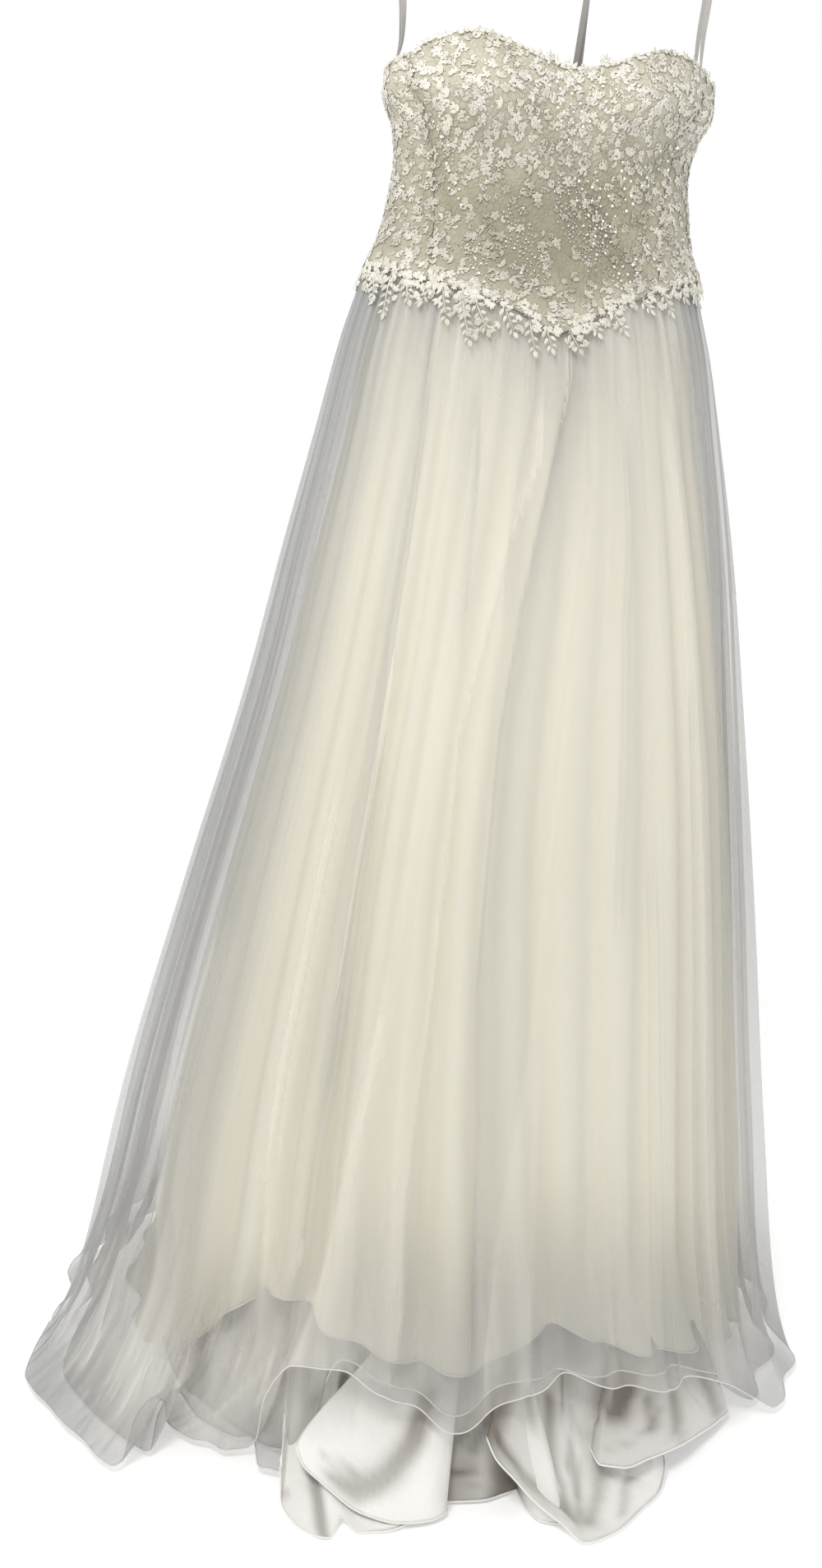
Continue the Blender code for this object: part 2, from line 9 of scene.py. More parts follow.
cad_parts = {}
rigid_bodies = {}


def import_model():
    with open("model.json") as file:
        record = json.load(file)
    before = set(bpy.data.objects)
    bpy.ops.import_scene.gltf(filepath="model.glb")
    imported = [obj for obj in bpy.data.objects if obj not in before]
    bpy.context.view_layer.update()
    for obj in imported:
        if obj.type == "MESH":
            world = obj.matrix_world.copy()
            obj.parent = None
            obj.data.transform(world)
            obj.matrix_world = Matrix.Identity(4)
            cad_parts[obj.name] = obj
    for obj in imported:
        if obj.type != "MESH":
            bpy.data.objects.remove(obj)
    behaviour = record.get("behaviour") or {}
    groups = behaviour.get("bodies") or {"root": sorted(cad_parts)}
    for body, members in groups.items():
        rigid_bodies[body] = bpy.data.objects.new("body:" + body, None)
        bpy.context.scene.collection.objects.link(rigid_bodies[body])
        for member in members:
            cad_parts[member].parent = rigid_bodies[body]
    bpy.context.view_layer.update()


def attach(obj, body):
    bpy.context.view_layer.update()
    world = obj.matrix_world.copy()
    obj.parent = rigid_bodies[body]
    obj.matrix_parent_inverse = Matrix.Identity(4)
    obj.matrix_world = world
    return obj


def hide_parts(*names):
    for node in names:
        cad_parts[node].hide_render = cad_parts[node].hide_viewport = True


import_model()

# Camera: a phone held about 1.8 m in front of the dress and a little to its left, at waist height,
# pointed down and tilted clockwise. Sizes are metres and degrees; the floor is HANG below the hook.
HANG = 1.930
CAMERA_TURN, CAMERA_AWAY, CAMERA_HEIGHT = -13.0, 1.7774, 1.1354
CAMERA_YAW, CAMERA_PITCH, CAMERA_ROLL = -3.87, 12.1, 3.0
PICTURE_HEIGHT, FOCAL_PIXELS, SENSOR = 1908, 1700, 36.0

lens = bpy.data.cameras.new("camera")
lens.sensor_fit = "VERTICAL"
lens.sensor_height = SENSOR
lens.lens = FOCAL_PIXELS / PICTURE_HEIGHT * SENSOR
camera = bpy.data.objects.new("camera", lens)
bpy.context.scene.collection.objects.link(camera)
bpy.context.scene.camera = camera
round_dress, yaw, pitch, roll = map(
    math.radians, (CAMERA_TURN, CAMERA_YAW, CAMERA_PITCH, CAMERA_ROLL)
)
to_dress = Vector((-math.sin(round_dress), math.cos(round_dress), 0))
across = Vector((math.cos(round_dress), math.sin(round_dress), 0))
ahead = to_dress * math.cos(yaw) + across * math.sin(yaw)
side = across * math.cos(yaw) - to_dress * math.sin(yaw)
sight = ahead * math.cos(pitch) - Vector((0, 0, math.sin(pitch)))
above = ahead * math.sin(pitch) + Vector((0, 0, math.cos(pitch)))
right = side * math.cos(roll) + above * math.sin(roll)
top = above * math.cos(roll) - side * math.sin(roll)
stand = -to_dress * CAMERA_AWAY + Vector((0, 0, CAMERA_HEIGHT - HANG))
camera.matrix_world = Matrix((right, top, -sight)).transposed().to_4x4()
camera.location = stand

# Hanger: white plastic, moulded in one piece, with a round sloping bar and a hook of 44 mm inside.
# The bar thickens to a boss under the hook, and both its ends are rounded.
BAR_RADIUS, BOSS_RADIUS, BOSS_TALL, BOSS_SHOULDER = 0.0070, 0.0088, 0.030, 0.006
HOOK_RADIUS, HOOK_INSIDE, NECK_TALL, NECK_SWELL = 0.0035, 0.0220, 0.014, 1.2
HOOK_START, HOOK_END, HOOK_STEP = -60, 205, 5  # degrees round the hook
# Half of the bar, from its end to the middle: distance from the middle and height above the floor
BAR = [(0.215, 1.720), (0.160, 1.738), (0.090, 1.766), (0.035, 1.786), (0.0, 1.791)]
BAR_STEPS, BAR_ROUNDING = 8, 3
DOME = [(0.97, 0.25), (0.85, 0.53), (0.6, 0.8), (0.25, 0.97)]  # a rounded end: its width and reach


class Value:
    """What a socket gives, so that sums and masks are written as arithmetic."""

    def __init__(self, net, socket):
        self.net, self.socket = net, socket

    def __add__(self, other):
        return self.net.math("ADD", self, other)

    def __radd__(self, other):
        return self.net.math("ADD", other, self)

    def __sub__(self, other):
        return self.net.math("SUBTRACT", self, other)

    def __rsub__(self, other):
        return self.net.math("SUBTRACT", other, self)

    def __mul__(self, other):
        return self.net.math("MULTIPLY", self, other)

    def __rmul__(self, other):
        return self.net.math("MULTIPLY", other, self)


class Net:
    """A node tree to which nodes are added one at a time."""

    def __init__(self, tree):
        self.tree = tree

    def node(self, kind, settings=None, values=None, output=0):
        made = self.tree.nodes.new(kind)
        for key, setting in (settings or {}).items():
            setattr(made, key, setting)
        for key, value in (values or {}).items():
            if isinstance(value, Value):
                self.tree.links.new(value.socket, made.inputs[key])
            else:
                made.inputs[key].default_value = value
        return Value(self, made.outputs[output])

    def math(self, operation, first, second):
        return self.node("ShaderNodeMath", {"operation": operation}, {0: first, 1: second})

    def clamp(self, low, value, high):
        """0 below low, 1 above high and smooth between them."""
        ends = {"From Min": low, "From Max": high, "Value": value}
        return self.node("ShaderNodeMapRange", {"interpolation_type": "SMOOTHSTEP"}, ends)


class Finish(Net):
    """A Principled material: sheen and the like as numbers, and patterns added by its methods."""

    def __init__(self, name, **shine):
        self.material = bpy.data.materials.new(name)
        self.material.use_nodes = True
        super().__init__(self.material.node_tree)
        self.shader = self.tree.nodes["Principled BSDF"]
        for socket, value in shine.items():
            self.shader.inputs[socket.replace("_", " ")].default_value = value
        self.place = self.node("ShaderNodeTexCoord", output="Object")
        self.cloth = self.node("ShaderNodeTexCoord", output="UV")

    def drive(self, socket, value):
        self.tree.links.new(value.socket, self.shader.inputs[socket])

    def blend(self, mask, first, second):
        """A colour between two, each a value or three numbers."""
        first, second = [c if isinstance(c, Value) else (*c, 1) for c in (first, second)]
        return self.node("ShaderNodeMix", {"data_type": "RGBA"}, {0: mask, 6: first, 7: second}, 2)

    def stretched(self, place, x, y, z=1):
        return self.node("ShaderNodeVectorMath", {"operation": "MULTIPLY"}, {0: place, 1: (x, y, z)})

    def noise(self, place, scale, detail=3, rough=0.5):
        return self.node("ShaderNodeTexNoise", None,
                         {"Vector": place, "Scale": scale, "Detail": detail, "Roughness": rough})

    def mottle(self, scale, detail, first, second):
        """Colours it in soft patches between two colours, and gives the patches."""
        patches = self.noise(self.place, scale, detail)
        self.drive("Base Color", self.blend(patches, first, second))
        return patches

    def attribute(self, name):
        return self.node("ShaderNodeAttribute", {"attribute_name": name}, output="Fac")

    def bump(self, height, distance, strength=1.0):
        raised = {"Height": height, "Distance": distance, "Strength": strength}
        self.drive("Normal", self.node("ShaderNodeBump", None, raised))


def make_piece(name, points, faces, smooth=True):
    """A mesh object of the dress at the origin."""
    mesh = bpy.data.meshes.new(name)
    mesh.from_pydata([tuple(p) for p in points], [], faces)
    mesh.validate()
    if smooth:
        mesh.shade_smooth()
    made = bpy.data.objects.new(name, mesh)
    bpy.context.scene.collection.objects.link(made)
    return made


def finish_piece(piece, look, slot, *nodes):
    """Gives a piece its material, its body and the nodes it stands for. Its slot is not used."""
    piece.data.materials.clear()
    piece.data.materials.append(look.material)
    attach(piece, "root")
    if nodes:
        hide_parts(*nodes)


def ring_faces(rings, sides):
    """Faces between rings of points, one ring after the other."""
    return [(r * sides + k, r * sides + (k + 1) % sides, (r + 1) * sides + (k + 1) % sides,
             (r + 1) * sides + k) for r in range(rings - 1) for k in range(sides)]


def capped_faces(rings, sides):
    """The same with both ends closed."""
    caps = [tuple(range(sides))[::-1], tuple(range((rings - 1) * sides, rings * sides))]
    return ring_faces(rings, sides) + caps


def round_bar(path, radii, sides=20):
    """Points and faces of a round bar along a path in the XZ plane, with domed ends."""
    path = [np.array(p, float) for p in path]
    stations = []
    for i, here in enumerate(path):
        way = path[min(i + 1, len(path) - 1)] - path[max(i - 1, 0)]
        stations.append((here, way / np.linalg.norm(way), radii[i]))
    first, last = stations[0], stations[-1]
    start = [(first[0] - first[1] * first[2] * out, first[1], first[2] * wide)
             for wide, out in reversed(DOME)]
    end = [(last[0] + last[1] * last[2] * out, last[1], last[2] * wide) for wide, out in DOME]
    points = []
    for centre, way, radius in start + stations + end:
        aside = np.cross(way, (0, 1, 0))
        for k in range(sides):
            turn = 2 * math.pi * k / sides
            points.append(centre + aside * radius * math.cos(turn)
                          + np.array([0, radius * math.sin(turn), 0]))
    return points, capped_faces(len(points) // sides, sides)


def face_out(piece):
    """Merges what meets and turns every face outwards."""
    shape = bmesh.new()
    shape.from_mesh(piece.data)
    bmesh.ops.remove_doubles(shape, verts=shape.verts, dist=0.00001)
    bmesh.ops.recalc_face_normals(shape, faces=shape.faces)
    shape.to_mesh(piece.data)
    shape.free()
    piece.data.shade_smooth()


plastic = Finish("white_hanger_plastic", Roughness=0.32, Specular_IOR_Level=0.5)
mould = plastic.mottle(90, 4, (0.86, 0.86, 0.85), (0.90, 0.90, 0.89))
plastic.drive("Roughness", 0.26 + 0.14 * mould)
plastic.bump(plastic.noise(plastic.place, 700, 2), 0.0001)

shoulder = np.array([[x, 0, height - HANG] for x, height in BAR])
fine = np.linspace(0, 1, BAR_STEPS + 1)[:-1]
half = [a + (b - a) * t for a, b in zip(shoulder, shoulder[1:]) for t in fine] + [shoulder[-1]]
for _ in range(BAR_ROUNDING):
    half[1:-1] = [(a + 2 * b + c) / 4 for a, b, c in zip(half, half[1:], half[2:])]
bar_path = half + [p * (-1, 1, 1) for p in half[-2::-1]]
points, faces = round_bar(bar_path, [BAR_RADIUS] * len(bar_path))
hook_ring = HOOK_INSIDE + HOOK_RADIUS
bar_middle = BAR[-1][1] - HANG
boss_top = bar_middle + BOSS_TALL
hook_path = [(0, 0, z) for z in (bar_middle, boss_top - BOSS_SHOULDER, boss_top,
                                 -HOOK_INSIDE - hook_ring - NECK_TALL)]
radii = [BOSS_RADIUS, BOSS_RADIUS, HOOK_RADIUS * NECK_SWELL, HOOK_RADIUS]
for degrees in range(HOOK_START, HOOK_END + 1, HOOK_STEP):
    turn = math.radians(degrees)
    hook_path.append((hook_ring * math.cos(turn), 0, -HOOK_INSIDE + hook_ring * math.sin(turn)))
    radii.append(HOOK_RADIUS)
hook_points, hook_faces = round_bar(hook_path, radii)
faces += [tuple(i + len(points) for i in face) for face in hook_faces]
hanger = make_piece("moulded_hanger", points + hook_points, faces)
face_out(hanger)
finish_piece(hanger, plastic, "hanger_plastic", "hanger")

# Ribbon loops: white satin ribbon 6.5 mm wide, sewn inside the bodice under both arms and behind,
# and looped over the bar.
RIBBON_WIDTH, RIBBON_CLOTH, LOOP_RISE = 0.0065, 0.0007, 0.0100
ACROSS_RIBBON = np.array([-1, -0.9, -0.5, 0, 0.5, 0.9, 1])
STRAND_POINTS, STRAND_ROUNDING, OVER_BAR_STEPS = 26, 4, 12
# height, x, y, half of the strands' distance in x and y, direction of the width in degrees
SIDE_LOOP = [
    (1.570, 0.1886, 0.000, 0.000, 0.0110, 90),
    (1.598, 0.1872, 0.000, 0.000, 0.0105, 90),
    (1.625, 0.1775, 0.000, 0.000, 0.0098, 62),
    (1.665, 0.1775, 0.000, 0.000, 0.0090, 25),
    (1.700, 0.1810, 0.000, 0.000, 0.0084, 0),
    (1.7303, 0.1835, 0.000, 0.000, 0.0084, 0),
]
BACK_LOOP = [
    (1.562, 0.0450, 0.0775, 0.0042, 0.0000, 0),
    (1.588, 0.0450, 0.0750, 0.0040, 0.0000, 0),
    (1.650, 0.0440, 0.0480, 0.0028, 0.0024, 0),
    (1.720, 0.0425, 0.0180, 0.0014, 0.0060, 0),
    (1.7836, 0.0415, 0.0000, 0.0008, 0.0084, 0),
]

ribbon = Finish("satin_ribbon", Roughness=0.36, Sheen_Weight=0.15)
ribs = ribbon.node("ShaderNodeTexWave", {"bands_direction": "Y"},
                   {"Vector": ribbon.cloth, "Scale": 350, "Distortion": 0.4}, 1)
ribbon.drive("Base Color", ribbon.blend(ribs, (0.33, 0.32, 0.30), (0.45, 0.435, 0.415)))
ribbon.bump(ribs, 0.0001, 0.5)


def lay_uv(piece, rows, columns, u, v):
    """Cloth coordinates, in metres across and along, on a grid of rows and columns."""
    layer = piece.data.uv_layers.new(name="cloth")
    index = np.zeros(len(piece.data.loops), int)
    piece.data.loops.foreach_get("vertex_index", index)
    index %= rows * columns
    layer.data.foreach_set("uv", np.stack([u.ravel()[index], v.ravel()[index]], 1).ravel())


def grid_faces(rows, columns, first=0):
    """Faces between points in rows and columns, the first of which has the number first."""
    return [
        (first + r * columns + c, first + (r + 1) * columns + c,
         first + (r + 1) * columns + c + 1, first + r * columns + c + 1)
        for r in range(rows - 1) for c in range(columns - 1)
    ]


def make_loop(name, stations, mirror, node):
    """A ribbon up one strand, over the bar and down the other."""
    table = np.array(stations)
    heights = np.linspace(table[0, 0], table[-1, 0], STRAND_POINTS)
    columns = [np.interp(heights, table[:, 0], column) for column in table.T[1:]]
    smooth = np.stack([heights] + columns, 1)
    for _ in range(STRAND_ROUNDING):
        smooth[1:-1] = (smooth[:-2] + 2 * smooth[1:-1] + smooth[2:]) / 4
    path = []
    for sign, order in ((-1, smooth), (1, smooth[::-1])):
        for height, x, y, aside_x, aside_y, width in order:
            path.append((mirror * (x + sign * aside_x), y + sign * aside_y, height - HANG, width))
        if sign < 0:
            height, x, y, aside_x, aside_y, width = smooth[-1]
            for k in range(1, OVER_BAR_STEPS):
                angle = math.pi * k / OVER_BAR_STEPS
                path.append((mirror * (x - math.cos(angle) * aside_x), y - math.cos(angle) * aside_y,
                             height + math.sin(angle) * LOOP_RISE - HANG, width))
    path = np.array(path)
    turn = np.radians(path[:, 3])
    wide = np.stack([np.cos(turn), np.sin(turn), np.zeros(len(turn))], 1)
    shares = ACROSS_RIBBON * RIBBON_WIDTH / 2
    points = path[:, None, :3] + wide[:, None, :] * shares[None, :, None]
    rows, columns = points.shape[:2]
    loop = make_piece(name, points.reshape(-1, 3), grid_faces(rows, columns))
    length = np.cumsum(np.linalg.norm(np.diff(path[:, :3], axis=0, prepend=path[:1, :3]), axis=1))
    lay_uv(loop, rows, columns, np.tile(shares, (rows, 1)), np.tile(length[:, None], (1, columns)))
    wall = loop.modifiers.new("cloth", "SOLIDIFY")
    wall.thickness, wall.offset = RIBBON_CLOTH, 0
    finish_piece(loop, ribbon, "ribbon", node)


make_loop("ribbon_loop_right", SIDE_LOOP, 1, "hanger_loop_right")
make_loop("ribbon_loop_left", SIDE_LOOP, -1, "hanger_loop_left")
make_loop("ribbon_loop_back", BACK_LOOP, 1, "hanger_loop_back")

# Satin petticoat: the innermost skirt, bright white satin with a narrow rolled hem. It spills out
# in front as three flutes, each of which laps over the one on its left.
SKIRT = {  # outline of the outer skirt at the crests of its folds
    "height": [0.0, 0.150, 0.342, 0.620, 0.884, 1.050, 1.200, 1.300, 1.355, 1.400],
    "centre": [-0.060, -0.058, -0.053, -0.035, -0.017, -0.010, -0.006, -0.005, -0.005, -0.003],
    "side": [0.502, 0.466, 0.431, 0.375, 0.319, 0.287, 0.254, 0.231, 0.214, 0.200],
    "front": [0.400, 0.384, 0.352, 0.296, 0.228, 0.178, 0.132, 0.100, 0.086, 0.078],
    "back": [0.490, 0.450, 0.400, 0.325, 0.245, 0.188, 0.138, 0.105, 0.088, 0.078],
}
BODICE_SQUARE, SQUARE_FADE = 0.14, 0.14  # the bodice is squarer than the skirt, which takes it up
WAIST = {
    "turn": [-180, -150, -120, -90, -60, -40, -25, -12, 4, 20, 33, 48, 68, 90, 120, 150, 180],
    "height": [1.368, 1.374, 1.380, 1.379, 1.374, 1.364, 1.353, 1.340, 1.316, 1.345, 1.361, 1.376,
               1.389, 1.394, 1.390, 1.379, 1.368],
}
# Folds: the turn of each crest, and how deep the valley after it is at the hem
FOLD_CRESTS = [-90, -76, -62, -47, -36, -25, -14, -4, 7, 17, 28, 40, 53, 70,
               90, 104, 119, 133, 148, 163, 178, 193, 208, 223, 238, 254, 270]
FOLD_VALLEYS = [0.026, 0.022, 0.030, 0.042, 0.044, 0.022, 0.030, 0.024, 0.030, 0.022, 0.032, 0.036,
                0.030, 0.028, 0.028, 0.034, 0.040, 0.030, 0.044, 0.036, 0.040, 0.034, 0.042, 0.030,
                0.040, 0.032]
FOLD_GROWTH, FOLD_SHARP, HEM_FOLDS = 0.85, 1.4, 0.6
TWIST, TWIST_TURN, TWIST_WIDE = 9.0, -4.0, 30.0  # how far the front folds lean over on their way down
TWIST_TOP, TWIST_TOP_FADE, TWIST_FOOT, TWIST_FOOT_FADE = 1.33, 0.45, 0.12, 0.60
RIGHT_START, RIGHT_FULL, RIGHT_LAST, RIGHT_END = 20, 75, 140, 200  # turns where a layer is widened
# turn, x, y and height of the petticoat's hem in front, from the left side seam to the right
FLUTES = {
    "turn": [-90, -68, -52, -44, -40, -38, -35, -31, -28, -26, -23.5, -21, -18.5, -17, -15.5, -14,
             -13, -11.5, -9.5, -7.5, -5, -3, -2, -1, 0, 1.5, 3.5, 5, 6, 7, 8, 9, 10, 11, 12, 13,
             14.5, 16.5, 19, 21.5, 24, 27, 29, 31, 32.5, 34, 35.5, 36.5, 37.5, 39, 41.5, 44.5, 47,
             50, 53, 57, 65, 78, 90],
    "x": [-0.431, -0.405, -0.352, -0.300, -0.275, -0.286, -0.286, -0.262, -0.236, -0.221, -0.204,
          -0.176, -0.150, -0.165, -0.215, -0.255, -0.268, -0.262, -0.240, -0.200, -0.157, -0.118,
          -0.100, -0.106, -0.092, -0.060, -0.030, -0.012, -0.010, 0.003, 0.024, 0.030, 0.000,
          -0.035, -0.054, -0.046, -0.028, -0.006, 0.022, 0.046, 0.080, 0.124, 0.156, 0.172, 0.160,
          0.120, 0.085, 0.070, 0.074, 0.101, 0.140, 0.191, 0.225, 0.261, 0.284, 0.286, 0.290,
          0.303, 0.311],
    "y": [0.0, -0.120, -0.200, -0.262, -0.300, -0.345, -0.365, -0.405, -0.418, -0.397, -0.412,
          -0.414, -0.405, -0.375, -0.345, -0.330, -0.338, -0.350, -0.367, -0.397, -0.410, -0.404,
          -0.392, -0.372, -0.376, -0.377, -0.369, -0.362, -0.385, -0.413, -0.420, -0.400, -0.375,
          -0.362, -0.368, -0.382, -0.399, -0.416, -0.434, -0.452, -0.441, -0.407, -0.378, -0.340,
          -0.318, -0.330, -0.352, -0.368, -0.390, -0.390, -0.369, -0.339, -0.311, -0.280, -0.254,
          -0.215, -0.150, -0.060, 0.0],
    "height": [0.002, 0.002, 0.002, 0.003, 0.020, 0.035, 0.010, 0.002, 0.002, 0.010, 0.002, 0.002,
               0.004, 0.008, 0.018, 0.045, 0.058, 0.044, 0.030, 0.014, 0.008, 0.005, 0.006, 0.006,
               0.003, 0.003, 0.003, 0.003, 0.003, 0.002, 0.003, 0.008, 0.030, 0.058, 0.078, 0.062,
               0.048, 0.030, 0.014, 0.003, 0.003, 0.003, 0.004, 0.014, 0.026, 0.042, 0.052, 0.056,
               0.052, 0.046, 0.038, 0.030, 0.022, 0.014, 0.010, 0.006, 0.002, 0.002, 0.002],
}
FLUTE_FALL, FLAT_FALL = 0.050, 0.2  # how steeply the flutes come down on their hem, and flat ones do
HANG_STRAIGHT, HANG_LOWEST = 0.36, 0.75  # how far cloth hangs on straight before it bends to its hem
ROW_SPREAD = 1.5  # over 1, a sheet's rows lie closer together at the waist than lower down
# Flutes that lie flat on the floor under their neighbour: turn, half width and how far they lie flat
FLAT_FLUTES = [(-29.5, 9.5, 0.46), (22.5, 8.5, 0.42)]
SATIN_BACK_HEM = {"turn": [90, 135, 180, 225, 270], "reach": [0.74, 0.84, 0.94, 0.84, 0.74],
                  "height": [0.002] * 5}
SATIN_CLOTH, HEM_RADIUS = 0.0006, 0.0011
MEASURED_AT = 0.6  # the share of its rows down at which a sheet is measured across


def along(table, x, column):
    """A column of a table at x, on a smooth curve through its rows."""
    keys = np.array(list(table.values())[0], float)
    values = np.array(table[column], float)
    x = np.clip(x, keys[0], keys[-1])
    steps = np.diff(keys)
    slopes = np.diff(values) / steps
    before, after = slopes[:-1], slopes[1:]
    same = before * after > 0
    middle = np.where(same, 2 * before * after / np.where(same, before + after, 1), 0)
    tangents = np.concatenate([slopes[:1], middle, slopes[-1:]])
    i = np.clip(np.searchsorted(keys, x) - 1, 0, len(keys) - 2)
    t = (x - keys[i]) / steps[i]
    start = (1 + 2 * t) * (1 - t) ** 2 * values[i] + t * (1 - t) ** 2 * steps[i] * tangents[i]
    end = t * t * (3 - 2 * t) * values[i + 1] - t * t * (1 - t) * steps[i] * tangents[i + 1]
    return start + end


def soft_step(low, value, high):
    """0 on the side of low, 1 on the side of high and smooth between them."""
    t = np.clip((value - low) / (high - low), 0, 1)
    return t * t * (3 - 2 * t)


def hump(value, centre, reach, power=2):
    """1 at the centre, falling to 0 a little beyond its reach; a higher power is squarer."""
    return np.exp(-(((value - centre) / reach) ** power))


def waist_height(turn):
    """The height of the seam between bodice and skirt, which dips to a V in front."""
    return along(WAIST, np.where(turn > 180, turn - 360, turn), "height")


def fold_inset(turn):
    """How far the cloth lies inside its outline at the hem: 0 on a crest, deepest in a valley."""
    crests = np.array(FOLD_CRESTS, float)
    i = np.clip(np.searchsorted(crests, turn, side="right") - 1, 0, len(crests) - 2)
    share = (turn - crests[i]) / (crests[i + 1] - crests[i])
    return np.array(FOLD_VALLEYS)[i] * (np.sin(np.pi * share) ** 2) ** FOLD_SHARP


def twisted(turn, height):
    """The turn that a fold passing here has at the waist and the hem."""
    lean = np.clip((TWIST_TOP - height) / TWIST_TOP_FADE, 0, 1)
    lean = lean * np.clip((height - TWIST_FOOT) / TWIST_FOOT_FADE, 0, 1)
    return turn + TWIST * lean * hump(turn, TWIST_TURN, TWIST_WIDE)


def skirt_section(share, folding, turn, height):
    """Where a layer hangs at that height: x and y."""
    s, c = np.sin(np.radians(turn)), np.cos(np.radians(turn))
    wide = along(SKIRT, height, "side") * np.interp(height, share["height"], share["side"])
    right = np.interp(height, share["height"], share.get("right", [0] * len(share["height"])))
    right = right * soft_step(RIGHT_START, turn, RIGHT_FULL)
    wide = wide * (1 + right * soft_step(RIGHT_END, turn, RIGHT_LAST))
    deep = np.where(c > 0, along(SKIRT, height, "front"), along(SKIRT, height, "back"))
    deep = deep * np.interp(height, share["height"], share["depth"])
    waist = waist_height(turn)
    grown = np.clip((waist - height) / waist, 0, 1) ** FOLD_GROWTH
    inset = fold_inset(twisted(turn, height)) * folding * grown
    out = np.stack([s / wide, -c / deep])
    out /= np.linalg.norm(out, axis=0)
    square = BODICE_SQUARE * soft_step(SQUARE_FADE, waist - height, 0)
    flat = np.copysign(np.abs(c) ** (1 - square), c)
    x = along(SKIRT, height, "centre") + wide * s - out[0] * inset
    return x, -deep * flat - out[1] * inset


def hem_at(hem, folding, turn, lying):
    """Where a hem is, from its reach and height at each turn."""
    s, c = np.sin(np.radians(turn)), np.cos(np.radians(turn))
    reach = along(hem, turn, "reach")
    inset = fold_inset(turn) * folding * HEM_FOLDS
    x = SKIRT["centre"][0] + SKIRT["side"][0] * s * reach - s * inset
    deep = np.where(c > 0, SKIRT["front"][0], SKIRT["back"][0])
    return x, -deep * c * reach + c * inset, np.maximum(along(hem, turn, "height"), lying)


def hang_layer(turns, share, folding, below, bend, hem, pull, upper, lower):
    """Points of a layer as rows of columns: down its sections to the height where it bends, then
    curving out to its hem, with so many rows in the upper and the lower part."""
    waist = waist_height(turns) - below
    rows = []
    for step in np.linspace(0, 1, upper) ** ROW_SPREAD:
        height = waist + (bend - waist) * step
        x, y = skirt_section(share, folding, turns, height)
        rows.append(np.stack([x, y, height], 1))
    start = rows[-1]
    down = (start - rows[-2]) / np.linalg.norm(start - rows[-2], axis=1, keepdims=True)
    end = np.stack(hem, 1)
    span = np.linalg.norm(end - start, axis=1, keepdims=True)
    first = start + down * span * HANG_STRAIGHT
    pull = np.zeros(len(turns)) + pull
    flat = pull - np.min(pull)
    second = end + (start - end) * np.stack([pull, pull, 0 * pull], 1)
    second[:, 2] += FLUTE_FALL * (1 - (1 - FLAT_FALL) * flat / max(np.max(flat), 1e-6))
    second[:, 2] = np.minimum(second[:, 2], start[:, 2] * HANG_LOWEST)
    for t in np.linspace(0, 1, lower)[1:]:
        rows.append(start * (1 - t) ** 3 + first * 3 * t * (1 - t) ** 2
                    + second * 3 * t * t * (1 - t) + end * t**3)
    return np.array(rows)


def cloth_piece(name, rows, thickness=None):
    """A sheet through rows of points with heights above the floor. It is measured across low down."""
    points = rows - (0, 0, HANG)
    count, columns = points.shape[:2]
    piece = make_piece(name, points.reshape(-1, 3), grid_faces(count, columns))
    down = np.cumsum(np.linalg.norm(np.diff(points, axis=0, prepend=points[:1]), axis=2), axis=0)
    level = int(count * MEASURED_AT)
    steps = np.linalg.norm(np.diff(points[level], axis=0, prepend=points[level, :1]), axis=1)
    lay_uv(piece, count, columns, np.tile(np.cumsum(steps), (count, 1)), down)
    if thickness:
        wall = piece.modifiers.new("cloth", "SOLIDIFY")
        wall.thickness, wall.offset = thickness, -1
    return piece


def mark(piece, name, values):
    """A number for each point of a piece, for its material to read."""
    layer = piece.data.attributes.new(name, "FLOAT", "POINT")
    layer.data.foreach_set("value", np.asarray(values, float).ravel())


def roll_hem(name, edge, radius, look, slot, sides=6):
    """A rolled hem: a thin cord of cloth that lies on the edge of a sheet."""
    line = edge + (0, 0, radius) - (0, 0, HANG)
    way = np.gradient(line, axis=0)
    way /= np.linalg.norm(way, axis=1, keepdims=True)
    first = np.cross(way, (0, 0, 1.0))
    first /= np.linalg.norm(first, axis=1, keepdims=True)
    second = np.cross(way, first)
    points = []
    for k in range(sides):
        turn = 2 * math.pi * k / sides
        points.append(line + (first * math.cos(turn) + second * math.sin(turn)) * radius)
    points = np.stack(points, 1).reshape(-1, 3)
    hem = make_piece(name, points, capped_faces(len(line), sides))
    face_out(hem)
    finish_piece(hem, look, slot)
    return hem


